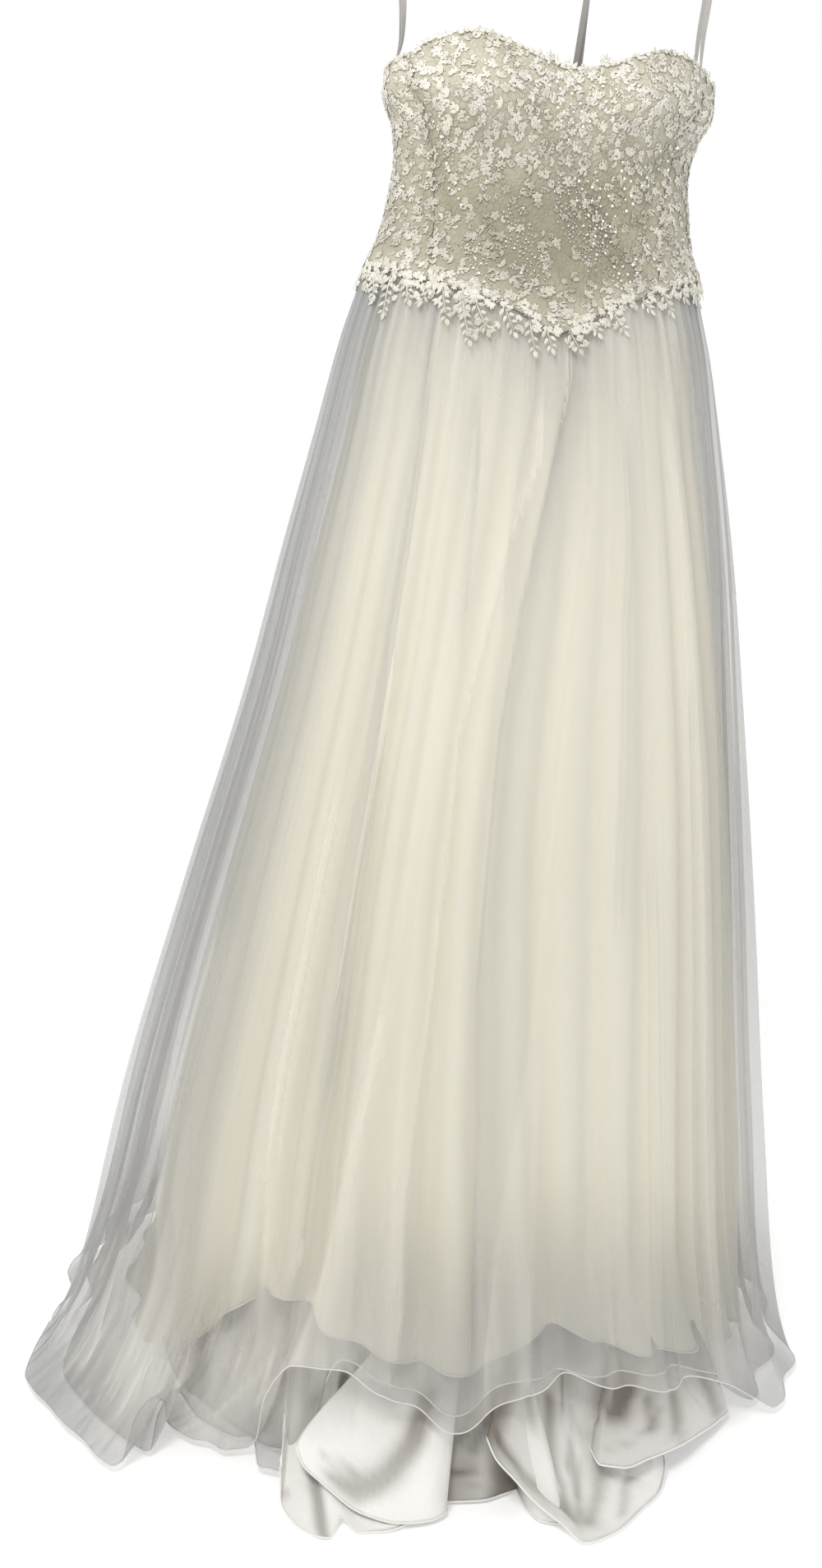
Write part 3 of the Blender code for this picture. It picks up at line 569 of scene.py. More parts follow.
# Creases of the petticoat in front, as (turn, row) along each, then how deep and how wide in rows
SATIN_CREASES = [
    ([(-22.0, 35), (-23.0, 38), (-24.2, 42)], 0.0070, 0.9),
    ([(-25.5, 37), (-28.2, 41)], 0.0050, 0.9),
    ([(-5.4, 38), (-5.5, 43), (-6.5, 47), (-8.5, 52)], 0.0065, 1.1),
    ([(-19.2, 42), (-21.3, 45), (-23.4, 49)], 0.0040, 0.8),
    ([(-31.4, 46), (-30.0, 49), (-28.4, 54)], 0.0060, 0.9),
    ([(-3.3, 42), (-3.5, 47), (-3.3, 54)], -0.0040, 0.7),
    ([(-29.3, 43), (-24.4, 43), (-20.0, 44)], 0.0016, 0.7),
    ([(0.2, 49), (0.9, 48.6), (1.9, 49)], 0.0030, 0.6),
    ([(1.9, 49), (2.9, 52)], -0.0030, 0.6),
    ([(13.0, 50.5), (15.4, 51.5), (17.8, 51), (20.6, 51)], 0.0040, 0.9),
    ([(17.0, 40), (17.8, 46), (19.6, 50)], 0.0036, 0.9),
    ([(20.9, 43), (21.2, 47), (21.4, 50)], 0.0026, 0.7),
    ([(24.6, 44), (23.7, 48), (22.4, 51)], 0.0036, 0.8),
    ([(27.4, 47), (26.6, 49), (25.5, 52)], 0.0030, 0.7),
    ([(38.2, 46), (38.6, 43), (39.0, 40)], 0.0050, 1.1),
    ([(41.5, 45), (42.2, 49)], 0.0026, 0.8),
    ([(44.9, 46), (44.5, 52)], 0.0036, 0.9),
    ([(50.0, 44), (50.5, 52)], 0.0030, 1.2),
    ([(-60.0, 42), (-58.0, 52)], 0.0050, 2.0),
    ([(62.0, 42), (64.0, 52)], 0.0050, 2.0),
]
# Painted shade on the satin, which darkens it: from a turn to the right, where the net shades it, high on
# the flutes, in the recess between them and on the flute that laps over it: how much, then the turn and how
# wide. Its creases and tucks get painted shade too.
NET_SHADE, NET_SHADE_TURN, NET_SHADE_WIDE = 0.34, 31, 5
HIGH_SHADE, HIGH_SHADE_FROM, HIGH_SHADE_FULL = 0.55, 0.045, 0.150
TURN_SHADES = [(0.35, 1.5, 4), (0.20, 15.5, 8)]
CREASE_SHADE_DEPTH, CREASE_SHADE_MOST = 0.009, 0.6
SMALL_CREASES, SMALL_DEEP = 90, (0.0008, 0.0026)
SMALL_AREA = (-60, 60, 34, 54)  # first and last turn, top and bottom row
TUCK_START, TUCK_DEEP, TUCK_REACH = 0.022, 0.050, 14
HEM_PRESS, HEM_PRESS_ROWS = 0.25, 2.0  # how much of a crease reaches the hem, and how soon it fades


def crease_depth(turn, row, creases):
    """How far creases press the cloth in at each point."""
    pressed = np.zeros_like(turn)
    for line, depth, wide in creases:
        nearest = np.full_like(turn, 1e9)
        for (t0, r0), (t1, r1) in zip(line, line[1:]):
            along_it = np.clip(((turn - t0) * (t1 - t0) + (row - r0) * (r1 - r0))
                               / ((t1 - t0) ** 2 + (r1 - r0) ** 2), 0, 1)
            nearest = np.minimum(nearest, np.hypot(turn - t0 - along_it * (t1 - t0),
                                                   row - r0 - along_it * (r1 - r0)))
        pressed += depth * hump(nearest, 0, wide)
    return pressed


def small_creases(first, last, top, bottom, count, seed, shortest=1.5, longest=4.0, lean=90, wide=0.45):
    """Soft creases here and there between two turns and two rows, as in packed cloth."""
    chance, made = np.random.default_rng(seed), []
    for _ in range(count):
        turn, row = chance.uniform(first, last), chance.uniform(top, bottom)
        way, reach = math.radians(90 + chance.uniform(-lean, lean)), chance.uniform(shortest, longest)
        end = (turn + reach * math.cos(way), row + reach * math.sin(way))
        made.append(([(turn, row), end], chance.uniform(*SMALL_DEEP) * chance.choice([-1, 1]), wide))
    return made


def press(rows, depth):
    """Moves the points of a sheet inwards along its normals."""
    out = np.cross(np.gradient(rows, axis=0), np.gradient(rows, axis=1))
    out /= np.linalg.norm(out, axis=2, keepdims=True) + 1e-9
    return rows - out * depth[..., None]


def tucked(rows):
    """How deep each point lies in a tuck between flutes, from 0 to 1."""
    reach = np.hypot(rows[:, :, 0] - SKIRT["centre"][0], rows[:, :, 1])
    outer = np.max([np.roll(reach, k, axis=1) for k in range(-TUCK_REACH, TUCK_REACH + 1)], axis=0)
    return np.clip((outer - reach - TUCK_START) / TUCK_DEEP, 0, 1)


satin = Finish("white_satin", Roughness=0.42, Sheen_Weight=0.10, Specular_IOR_Level=0.4)
crumple = satin.noise(satin.place, 14, 4)
bright_satin = satin.blend(crumple, (0.87, 0.855, 0.82), (0.97, 0.955, 0.93))
# The 'deep' mark is painted shade: it darkens the satin towards brown grey in its tucks and creases, under
# the net and to the right
satin.drive("Base Color", satin.blend(satin.attribute("deep"), bright_satin, (0.20, 0.180, 0.150)))
satin.drive("Roughness", 0.36 + 0.18 * crumple)
threads = satin.noise(satin.stretched(satin.cloth, 2200, 500), 1, 2)
creases = satin.noise(satin.stretched(satin.place, 1, 1, 0.6), 22, 3, 0.45)
pressed = satin.math("ABSOLUTE", satin.noise(satin.place, 15, 2, 0.4) - 0.5, 0)
satin.bump(creases + 1.1 * pressed + 0.02 * threads, 0.010, 0.8)

hem_roll = Finish("rolled_hem_thread", Roughness=0.5, Sheen_Weight=0.1)
stitches = hem_roll.mottle(900, 2, (0.82, 0.81, 0.79), (0.95, 0.94, 0.92))
hem_roll.bump(stitches, 0.0003, 0.5)

SATIN_SHARE = {
    "height": [0.000, 0.300, 0.800, 1.200, 1.300, 1.360],
    "side": [0.740, 0.770, 0.810, 0.800, 0.840, 0.926],
    "depth": [0.760, 0.800, 0.845, 0.840, 0.860, 0.917],
}
# Where the halves of every layer of the skirt start and end, just clear of the side seams
HALVES = {"front": (-89.9, 89.9), "back": (90.1, 269.9)}
SATIN_FOLDS, SATIN_BELOW, SATIN_LOWEST = 0.80, 0.004, 0.0016
FLUTE_BEND, SATIN_BACK_BEND, FLUTE_PULL, HEM_PULL = 0.24, 0.17, 0.10, 0.5

turns = np.linspace(*HALVES["front"], 520)
hem = [along(FLUTES, turns, column) for column in ("x", "y", "height")]
pull = FLUTE_PULL + sum(
    (flat - FLUTE_PULL) * hump(turns, turn, wide, 6) for turn, wide, flat in FLAT_FLUTES
)
front_rows = hang_layer(turns, SATIN_SHARE, SATIN_FOLDS, SATIN_BELOW, FLUTE_BEND, hem, pull, 26, 30)
row = np.arange(len(front_rows))[:, None] + 0 * turns[None, :]
turn = turns[None, :] + 0 * row
creased = crease_depth(turn, row, SATIN_CREASES + small_creases(*SMALL_AREA, SMALL_CREASES, 3))
lying = (pull - np.min(pull)) / (np.max(pull) - np.min(pull))
# Painted shade: in the tucks between flutes (less where a flute lies flat), in creases, high under the net,
# to the right, in the recess and on the lapping flute
painted_satin_shade = tucked(front_rows) * (1 - lying) + np.clip(creased / CREASE_SHADE_DEPTH, 0, CREASE_SHADE_MOST)
painted_satin_shade += HIGH_SHADE * soft_step(HIGH_SHADE_FROM, front_rows[:, :, 2], HIGH_SHADE_FULL)
painted_satin_shade += NET_SHADE * soft_step(0.0, turn - NET_SHADE_TURN, NET_SHADE_WIDE)
for shade, middle, wide in TURN_SHADES:
    painted_satin_shade += shade * hump(turn, middle, wide, 4)
above_hem = len(front_rows) - 1 - row
front_rows = press(front_rows, creased * np.clip(above_hem / HEM_PRESS_ROWS, HEM_PRESS, 1))
front_rows[:, :, 2] = np.maximum(front_rows[:, :, 2], SATIN_LOWEST)
satin_front = cloth_piece("satin_petticoat_front", front_rows, SATIN_CLOTH)
mark(satin_front, "deep", np.clip(painted_satin_shade, 0, 1))
turns = np.linspace(*HALVES["back"], 300)
hem = hem_at(SATIN_BACK_HEM, SATIN_FOLDS, turns, 0.002)
back_rows = hang_layer(turns, SATIN_SHARE, SATIN_FOLDS, SATIN_BELOW, SATIN_BACK_BEND, hem, HEM_PULL,
                       26, 24)
satin_back = cloth_piece("satin_petticoat_back", back_rows, SATIN_CLOTH)
for piece, rows, half in ((satin_front, front_rows, "front"), (satin_back, back_rows, "back")):
    finish_piece(piece, satin, "satin", "satin_" + half)
    rolled = roll_hem("satin_rolled_hem_" + half, rows[-1], HEM_RADIUS, hem_roll, "satin")

# Lining: ivory cloth, opaque, cut with a wavy hem that shows through the tulle in front of it.
LINING_HEM = {
    "turn": [-90, -62, -47, -36, -25, -14, -2, 11, 20, 29, 40, 52, 62, 74, 90, 120, 180, 240, 270],
    "height": [0.0, 0.060, 0.150, 0.190, 0.172, 0.155, 0.140, 0.190, 0.160, 0.128, 0.106, 0.085,
               0.070, 0.030, 0.0, 0.0, 0.0, 0.0, 0.0],
    "reach": [0.80, 0.79, 0.76, 0.77, 0.82, 0.85, 0.86, 0.86, 0.86, 0.87, 0.88, 0.885, 0.88, 0.87, 0.86,
              0.92, 1.06, 0.92, 0.80],
}
LINING_SHARE = {
    "height": [0.000, 0.300, 0.800, 1.200, 1.300, 1.360],
    "side": [0.800, 0.825, 0.865, 0.850, 0.880, 0.950],
    "right": [0.120, 0.120, 0.060, 0.010, 0.000, 0.000],  # the lining reaches further out on the right
    "depth": [0.890, 0.895, 0.905, 0.900, 0.905, 0.944],
}
LINING_CLOTH, LINING_HEM_RADIUS, LINING_LYING = 0.0006, 0.0009, 0.0046
LINING_BELOW, LINING_BEND = 0.003, 0.26
lining = Finish("ivory_lining", Roughness=0.62, Sheen_Weight=0.1)
lining.mottle(3, 3, (0.83, 0.795, 0.665), (0.89, 0.855, 0.735))
weave = lining.noise(lining.stretched(lining.cloth, 1600, 1600), 1, 1)
lining.bump(weave + 6 * lining.noise(lining.place, 9, 2), 0.0006, 0.5)

for half, ends in HALVES.items():
    turns = np.linspace(*ends, 260)
    hem = hem_at(LINING_HEM, 1.0, turns, LINING_LYING)
    rows = hang_layer(turns, LINING_SHARE, 1.0, LINING_BELOW, LINING_BEND, hem, HEM_PULL, 30, 14)
    piece = cloth_piece("ivory_lining_" + half, rows, LINING_CLOTH)
    finish_piece(piece, lining, "lining", "lining_" + half)
    rolled = roll_hem("lining_rolled_hem_" + half, rows[-1], LINING_HEM_RADIUS, hem_roll, "lining")

# Tulle: two gathered layers of soft white net over the lining, hemmed with a fine rolled edge, and painted
# from grey shade to lit ivory. They are see-through beyond the lining, and their left side lies on the floor
# in three lobes.
UNDER_SHARE = {
    "height": [0.000, 0.900, 1.200, 1.360],
    "side": [0.945, 0.955, 0.965, 0.975],
    "depth": [0.955, 0.955, 0.960, 0.972],
}
OUTER_SHARE = {"height": [0.0, 1.4], "side": [1.0, 1.0], "depth": [1.0, 1.0]}
UNDER_HEM = {
    "turn": [-90, -62, -47, -36, -25, -14, -4, 7, 28, 40, 53, 70, 90, 120, 180, 240, 270],
    "height": [0.0, 0.0, 0.0, 0.060, 0.165, 0.145, 0.112, 0.146, 0.118, 0.090, 0.010, 0.0, 0.0, 0.0,
               0.0, 0.0, 0.0],
    "reach": [0.97, 1.01, 0.99, 0.90, 0.91, 0.915, 0.935, 0.915, 0.925, 0.94, 0.97, 0.97, 0.94,
              1.00, 1.16, 0.98, 0.97],
}
OUTER_HEM = {
    "turn": [-90, -76, -62, -47, -42, -36, -31, -25, -14, -4, 7, 12, 19, 28, 36, 46, 55, 63, 76, 90,
             120, 150, 180, 210, 240, 270],
    "height": [0.0, 0.0, 0.0, 0.0, 0.0, 0.0, 0.110, 0.160, 0.138, 0.100, 0.138, 0.147, 0.128, 0.107,
               0.098, 0.050, 0.0, 0.0, 0.0, 0.0, 0.0, 0.0, 0.0, 0.0, 0.0, 0.0],
    "reach": [1.02, 1.07, 1.09, 1.12, 1.01, 0.96, 0.95, 0.94, 0.95, 0.97, 0.95, 0.95, 0.96, 0.97,
              0.98, 1.00, 1.04, 1.05, 0.99, 0.99, 1.06, 1.17, 1.24, 1.16, 1.05, 1.02],
}
# The hems where they lie on the floor at the left: the outer net in two lobes, the net under it in
# three, with folds between them
LOBES = {
    "outer": {
        "turn": [-90, -80, -72, -67, -62, -58, -54, -51, -48.5, -46.5, -44.5, -43, -41.5, -40, -38.5,
                 -37, -35, -33, -31, -29.6, -28.6, -27.6, -26],
        "x": [-0.575, -0.589, -0.594, -0.581, -0.560, -0.534, -0.514, -0.491, -0.475, -0.464, -0.458,
              -0.450, -0.433, -0.418, -0.415, -0.404, -0.386, -0.364, -0.346, -0.321, -0.310, -0.305,
              -0.290],
        "y": [0.0, -0.065, -0.112, -0.148, -0.177, -0.222, -0.243, -0.281, -0.293, -0.286, -0.245,
              -0.219, -0.206, -0.201, -0.218, -0.238, -0.253, -0.264, -0.277, -0.277, -0.284, -0.292,
              -0.315],
        "height": [0.010, 0.010, 0.010, 0.012, 0.010, 0.013, 0.010, 0.012, 0.010, 0.012, 0.015, 0.022,
                   0.034, 0.022, 0.010, 0.012, 0.010, 0.012, 0.010, 0.012, 0.030, 0.080, 0.145],
    },
    "under": {
        "turn": [-90, -72, -60, -50, -47, -44, -41, -38, -34, -31.5, -30.2, -28.6, -26.8, -25.2, -24.2,
                 -23, -21],
        "x": [-0.535, -0.548, -0.505, -0.445, -0.434, -0.425, -0.405, -0.375, -0.335, -0.312, -0.309,
              -0.294, -0.279, -0.264, -0.246, -0.236, -0.225],
        "y": [0.0, -0.100, -0.190, -0.262, -0.270, -0.205, -0.180, -0.215, -0.250, -0.262, -0.306,
              -0.316, -0.320, -0.303, -0.296, -0.296, -0.305],
        "height": [0.007, 0.007, 0.007, 0.007, 0.009, 0.012, 0.025, 0.008, 0.008, 0.014, 0.010,
                   0.012, 0.010, 0.024, 0.050, 0.090, 0.140],
    },
}
LOBES_END, LOBES_MEET = {"outer": -25.8, "under": -21.5}, 1.8
NET_CUT_ROWS = (44, 24)  # rows of the net above and below its bend
NET_HEM, NET_SINK, CREASE_FULL = 0.0008, 0.003, 0.0022
# Small creases of the net: how many, where (turns and rows), their lengths, lean and width
NET_CREASES, NET_CREASE = 110, (3.0, 9.0, 24, 0.30)
NET_CREASED = {"front": (-88, -28, 50, 66), "back": (*HALVES["back"], 52, 66)}
# Where the net is folded over itself: (turn, height) down each fold, then how much denser the net gets and
# how much lighter it is painted (painted light on the fold, painted shade below 0), how far it lies inside
# its neighbour, how wide it fades and to which side
FOLD_LINES = [
    ([(-35.9, 1.346), (-34.3, 1.187), (-34.1, 1.069), (-34.7, 0.969), (-33.6, 0.852), (-29.0, 0.500)],
     0.16, -0.30, 0.006, 3.0, -1),
    ([(-18.7, 1.232), (-17.3, 1.136), (-17.0, 1.020)], 0.10, -0.25, 0.004, 2.2, -1),
    ([(-3.4, 1.290), (-3.4, 1.241), (-7.0, 1.164), (-9.0, 1.060)], 0.08, -0.20, 0.003, 1.8, 1),
    ([(-20.0, 1.200), (-20.0, 1.060), (-22.3, 0.947), (-22.6, 0.857), (-23.5, 0.500)],
     0.10, 0.25, 0.003, 4.0, 1),
    ([(6.3, 1.300), (6.3, 1.257), (1.9, 1.172), (-1.9, 1.084), (-5.1, 0.989), (-7.7, 0.862),
      (-7.0, 0.600), (-4.0, 0.420), (-2.5, 0.200)], 0.16, -0.25, 0.008, 4.5, 1),
    ([(-0.8, 1.230), (-0.8, 1.171), (-8.2, 1.079), (-12.2, 0.976), (-15.8, 0.860), (-14.5, 0.600),
      (-14.5, 0.330), (-13.1, 0.225)], 0.12, 0.45, 0.003, 3.5, -1),
    ([(11.8, 1.220), (11.8, 1.136), (9.6, 1.067), (7.2, 0.973), (5.2, 0.864), (3.0, 0.600),
      (0.8, 0.346), (-0.2, 0.181)], 0.10, 0.30, 0.004, 3.0, 1),
    ([(22.7, 1.200), (22.7, 1.085), (20.8, 0.993), (19.5, 0.700)], 0.09, -0.20, 0.004, 4.0, 1),
    ([(36.8, 1.330), (36.8, 1.278), (39.7, 1.130), (41.0, 0.900), (41.5, 0.500)],
     0.10, 0.35, 0.003, 4.0, -1),
    ([(-62.2, 0.600), (-62.2, 0.409), (-60.4, 0.300), (-57.2, 0.202), (-56.7, 0.116)],
     0.18, 0.40, 0.003, 3.5, 1),
    ([(-66.2, 0.420), (-66.2, 0.316), (-65.1, 0.177), (-61.8, 0.098)], 0.12, 0.30, 0.002, 2.0, -1),
    ([(-41.0, 0.800), (-39.2, 0.481), (-37.4, 0.365), (-36.1, 0.305), (-33.8, 0.162)],
     0.18, 0.45, 0.003, 3.5, 1),
    ([(-30.7, 0.560), (-30.7, 0.475), (-30.8, 0.375), (-30.8, 0.260)], 0.10, -0.35, 0.004, 1.6, 1),
    ([(-23.5, 0.560), (-24.2, 0.456), (-25.5, 0.267), (-26.0, 0.150)], 0.14, 0.45, 0.002, 2.4, 1),
    ([(5.6, 0.500), (5.6, 0.311), (6.1, 0.139)], 0.08, 0.25, 0.002, 2.5, -1),
    ([(27.0, 0.700), (28.0, 0.400), (28.0, 0.120)], 0.08, -0.20, 0.003, 3.0, 1),
    ([(47.0, 0.900), (48.0, 0.500), (49.0, 0.150)], 0.10, -0.20, 0.004, 3.0, -1),
]
FOLD_EDGE, FOLD_FADE = 0.35, 0.10
# How much of each layer's area is thread, and how light its colour is painted, as painted light and shade:
# in front, at the sides, where it is gathered, near its hem, where it lies on the floor, in its creases and
# by its stripes
COVER = {"front": 0.14, "side": 0.42, "waist": 0.42, "low": 0.22, "lying": 0.14, "crease": 0.14,
         "stripes": 0.35}
NET_PAINTED_LIGHT = {"all": 0.06, "front": 0.40, "waist": -0.16, "low": -0.10, "low_left": 0.24, "lying": -0.45,
         "crease": 0.26, "stripes": 0.16}
STRIPES = [(1.1, 0.5), (3.7, 0.6), (11.0, 0.6)]  # how wide in degrees, and how strong
# The net is painted lighter low down on its left.
LEFT_FROM, LEFT_FULL = 20, 45  # turns to the left from which the net is lighter low down
SIDE_FROM = 0.72  # the sine of the turn from which the net counts as a side
# It is thinner low down on the right: how much, then its turns and its heights
THIN, THIN_FROM, THIN_FULL, THIN_TOP, THIN_FOOT = 0.5, 20, 70, 0.75, 0.35
LOW_TOP, LOW_FOOT, LYING_TOP, LYING_FOOT = 0.26, 0.04, 0.075, 0.012
GATHER_DEEP, GATHER_REACH, GATHER_STEP, GATHER_START = 0.0022, 0.11, 2.3, 0.01
COVER_LEAST, COVER_MOST = 0.05, 0.9
BETWEEN_GATHERS, ON_GATHERS = 0.7, 0.5  # how the waist's share follows the gathers


def streaks(turn, step, seed):
    """Uneven smooth stripes round the dress, from -1 to 1, about one step of a degree apart."""
    knots = np.arange(-100, 280, step)
    knots = knots + np.random.default_rng(seed).uniform(-0.35, 0.35, len(knots)) * step
    values = np.random.default_rng(seed + 1).uniform(-1, 1, len(knots))
    i = np.clip(np.searchsorted(knots, turn) - 1, 0, len(knots) - 2)
    share = soft_step(0, (turn - knots[i]) / (knots[i + 1] - knots[i]), 1)
    return values[i] * (1 - share) + values[i + 1] * share


def fold_marks(turn, height):
    """How much denser the net is at each point, how much lighter it is painted as light and shade, and how
    far it lies inside.
    """
    dense, light, inside = np.zeros_like(turn), np.zeros_like(turn), np.zeros_like(turn)
    for line, more, painted_lighter, depth, wide, way in FOLD_LINES:
        turns, heights = np.array(line[::-1]).T
        aside = (turn - np.interp(height, heights, turns)) * way
        ends = soft_step(heights[0] - FOLD_FADE, height, heights[0])
        ends = ends * soft_step(heights[-1] + FOLD_FADE * 0.5, height, heights[-1] - FOLD_FADE * 0.3)
        share = ends * soft_step(-FOLD_EDGE, aside, FOLD_EDGE) * np.exp(-np.maximum(aside, 0) / wide)
        dense, light, inside = dense + more * share, light + painted_lighter * share, inside + depth * share
    return dense, light, inside


def net_finish(name):
    """Tulle: mostly holes, denser where it is gathered or folded over itself."""
    tulle = Finish(name, Roughness=0.75, Specular_IOR_Level=0.2, Sheen_Weight=0.2)
    # Its colour is painted light and shade: grey where the 'light' mark is low, lit ivory where it is high.
    tulle.drive("Base Color", tulle.blend(tulle.attribute("light"), (0.36, 0.362, 0.36), (0.86, 0.83, 0.75)))
    tulle.drive("Alpha", tulle.attribute("cover"))
    return tulle


net_hem = Finish("tulle_hem_thread", Roughness=0.6)
net_hem.mottle(40, 2, (0.60, 0.59, 0.56), (0.84, 0.83, 0.80))


def net_rows(layer, half, share, below, bend, lying, hem_table, turns):
    """Points of a layer of net, whose left side lies on the floor in lobes."""
    x, y, height = hem_at(hem_table, 1.0, turns, lying)
    if half == "front":
        free = soft_step(LOBES_END[layer] - LOBES_MEET, turns, LOBES_END[layer] + LOBES_MEET)
        lobes = [along(LOBES[layer], turns, column) for column in ("x", "y", "height")]
        x = lobes[0] * (1 - free) + x * free
        y = lobes[1] * (1 - free) + y * free
        height = np.maximum(lobes[2] * (1 - free) + height * free, lying)
    return hang_layer(turns, share, 1.0, below, bend, (x, y, height), HEM_PULL, *NET_CUT_ROWS)


for layer, share, below, bend, lying, hem_table, columns, seed in (
    ("under", UNDER_SHARE, 0.0020, 0.29, 0.0072, UNDER_HEM, 360, 5),
    ("outer", OUTER_SHARE, 0.0006, 0.30, 0.0098, OUTER_HEM, 560, 9),
):
    look = net_finish(layer + "_tulle")
    for half, ends in HALVES.items():
        turns = np.linspace(*ends, columns)
        rows = net_rows(layer, half, share, below, bend, lying, hem_table, turns)
        turn = np.tile(turns, (len(rows), 1))
        row = np.arange(len(rows))[:, None] + 0 * turn
        drop = waist_height(turn) - rows[:, :, 2]
        fold_cover, fold_painted_light, inside = fold_marks(turn, rows[:, :, 2])
        crease_seed = seed + (31 if half == "front" else 30)
        crease = crease_depth(
            turn, row, small_creases(*NET_CREASED[half], NET_CREASES, crease_seed, *NET_CREASE))
        crumpled = np.clip(crease / CREASE_FULL, -1, 1)
        gathered = np.exp(-drop / GATHER_REACH) * soft_step(0, drop, GATHER_START)
        gathers = streaks(turn, GATHER_STEP, seed)
        leaning = twisted(turn, rows[:, :, 2])
        move = GATHER_DEEP * gathered * (gathers - 1) - inside
        rows[:, :, 0] += move * np.sin(np.radians(turn))
        rows[:, :, 1] -= move * np.cos(np.radians(turn))
        rows[:-1] = press(rows, crease)[:-1]
        rows[:, :, 2] = np.maximum(rows[:, :, 2], lying - NET_SINK)

        side = soft_step(SIDE_FROM, np.abs(np.sin(np.radians(turn))), 1.0)
        low = soft_step(LOW_TOP, rows[:, :, 2] - rows[-1, :, 2], LOW_FOOT)
        on_floor = soft_step(LYING_TOP, rows[:, :, 2], LYING_FOOT)
        thin = THIN * soft_step(THIN_FROM, turn, THIN_FULL) * soft_step(THIN_TOP, rows[:, :, 2], THIN_FOOT)
        stripes = sum(strong * streaks(leaning, wide, seed + 2 + 2 * k)
                      for k, (wide, strong) in enumerate(STRIPES))
        cover = COVER["front"] + (COVER["side"] - COVER["front"]) * side * (1 - thin)
        cover = cover * (1 + COVER["stripes"] * stripes)
        cover = cover + COVER["waist"] * gathered * (BETWEEN_GATHERS + ON_GATHERS * gathers)
        cover = cover + fold_cover + COVER["crease"] * np.abs(crumpled)
        cover = cover + COVER["low"] * low + COVER["lying"] * on_floor
        # Painted light and shade on the net: grey at the sides, lighter in front, on its folds and low on
        # the left, darker between the gathers, near its hem and where it lies on the floor, lighter and
        # darker in its creases and stripes.
        light = NET_PAINTED_LIGHT["all"] + NET_PAINTED_LIGHT["front"] * (1 - side) + fold_painted_light + NET_PAINTED_LIGHT["crease"] * crumpled
        light = light + NET_PAINTED_LIGHT["stripes"] * stripes + NET_PAINTED_LIGHT["low"] * low
        light = light + NET_PAINTED_LIGHT["low_left"] * low * soft_step(LEFT_FROM, -turn, LEFT_FULL)
        light = light + NET_PAINTED_LIGHT["lying"] * on_floor + NET_PAINTED_LIGHT["waist"] * gathered * (1 - gathers)
        piece = cloth_piece(f"{layer}_tulle_{half}", rows)
        mark(piece, "cover", np.clip(cover, COVER_LEAST, COVER_MOST))
        mark(piece, "light", np.clip(light, 0, 1))
        finish_piece(piece, look, "tulle", f"tulle_{layer}_{half}")
        rolled = roll_hem(f"{layer}_tulle_hem_{half}", rows[-1], NET_HEM, net_hem, "tulle")

# Bodice: five boned panels of lace on an ivory ground. The front one has moulded cups and ends
# above the gathered skirt in a V; the others meet it and each other at narrow pressed seams.
BODICE = {
    "height": [1.300, 1.355, 1.400, 1.430, 1.467, 1.504, 1.540, 1.577, 1.615, 1.660],
    "centre": [-0.005, -0.005, -0.003, -0.003, -0.003, -0.003, -0.002, 0.000, 0.001, 0.000],
    "side": [0.231, 0.214, 0.200, 0.188, 0.181, 0.176, 0.181, 0.196, 0.193, 0.180],
    "front": [0.100, 0.086, 0.078, 0.075, 0.076, 0.080, 0.087, 0.092, 0.090, 0.082],
    "back": [0.105, 0.088, 0.078, 0.076, 0.077, 0.080, 0.084, 0.088, 0.086, 0.080],
}
TOP_EDGE = {
    "turn": [-180, -130, -90, -64, -46, -32, -18, 3, 22, 36, 50, 66, 90, 130, 180],
    "height": [1.588, 1.593, 1.601, 1.609, 1.624, 1.629, 1.615, 1.597, 1.614, 1.628, 1.626, 1.613,
               1.603, 1.593, 1.588],
}
CUP_X, CUP_HEIGHT, CUP_DEPTH, CUP_WIDE, CUP_TALL = 0.094, 1.562, 0.027, 0.052, 0.040
CUP_FRONT = 3  # how soon the cups fade towards the sides
PRINCESS_TOP, PRINCESS_WAIST, BACK_SEAM = 65, 40, 112
BODICE_CLOTH, BODICE_RADIUS = 0.0026, 0.13
# Soft creases pressed into the bodice: (turn, height) along each, then how deep and how wide in
# degrees. The last is a ridge.
BODICE_CREASES = [
    ([(-67.0, 1.600), (-66.0, 1.585), (-63.0, 1.548), (-56.0, 1.498), (-46.0, 1.451), (-38.0, 1.403)],
     0.0046, 4.2),
    ([(66.0, 1.600), (57.0, 1.559), (48.0, 1.521), (44.0, 1.500)], 0.0050, 4.0),
    ([(49.0, 1.531), (42.0, 1.499), (40.0, 1.430)], 0.0022, 3.0),
    ([(-4.0, 1.600), (-2.0, 1.560), (2.0, 1.520)], 0.0022, 5.0),
    ([(-24.0, 1.520), (-22.0, 1.470), (-16.0, 1.400)], 0.0016, 4.0),
    ([(20.0, 1.490), (19.0, 1.440), (18.0, 1.400)], 0.0018, 4.5),
    ([(17.0, 1.400), (7.0, 1.375), (-2.5, 1.350)], -0.0022, 3.6),
]
CREASE_PAST, CREASE_INSIDE = 0.02, 0.01  # how a crease fades at its ends
SEAM_DIP, SEAM_WIDE, SEAM_GAP = 0.0009, 0.004, 0.10


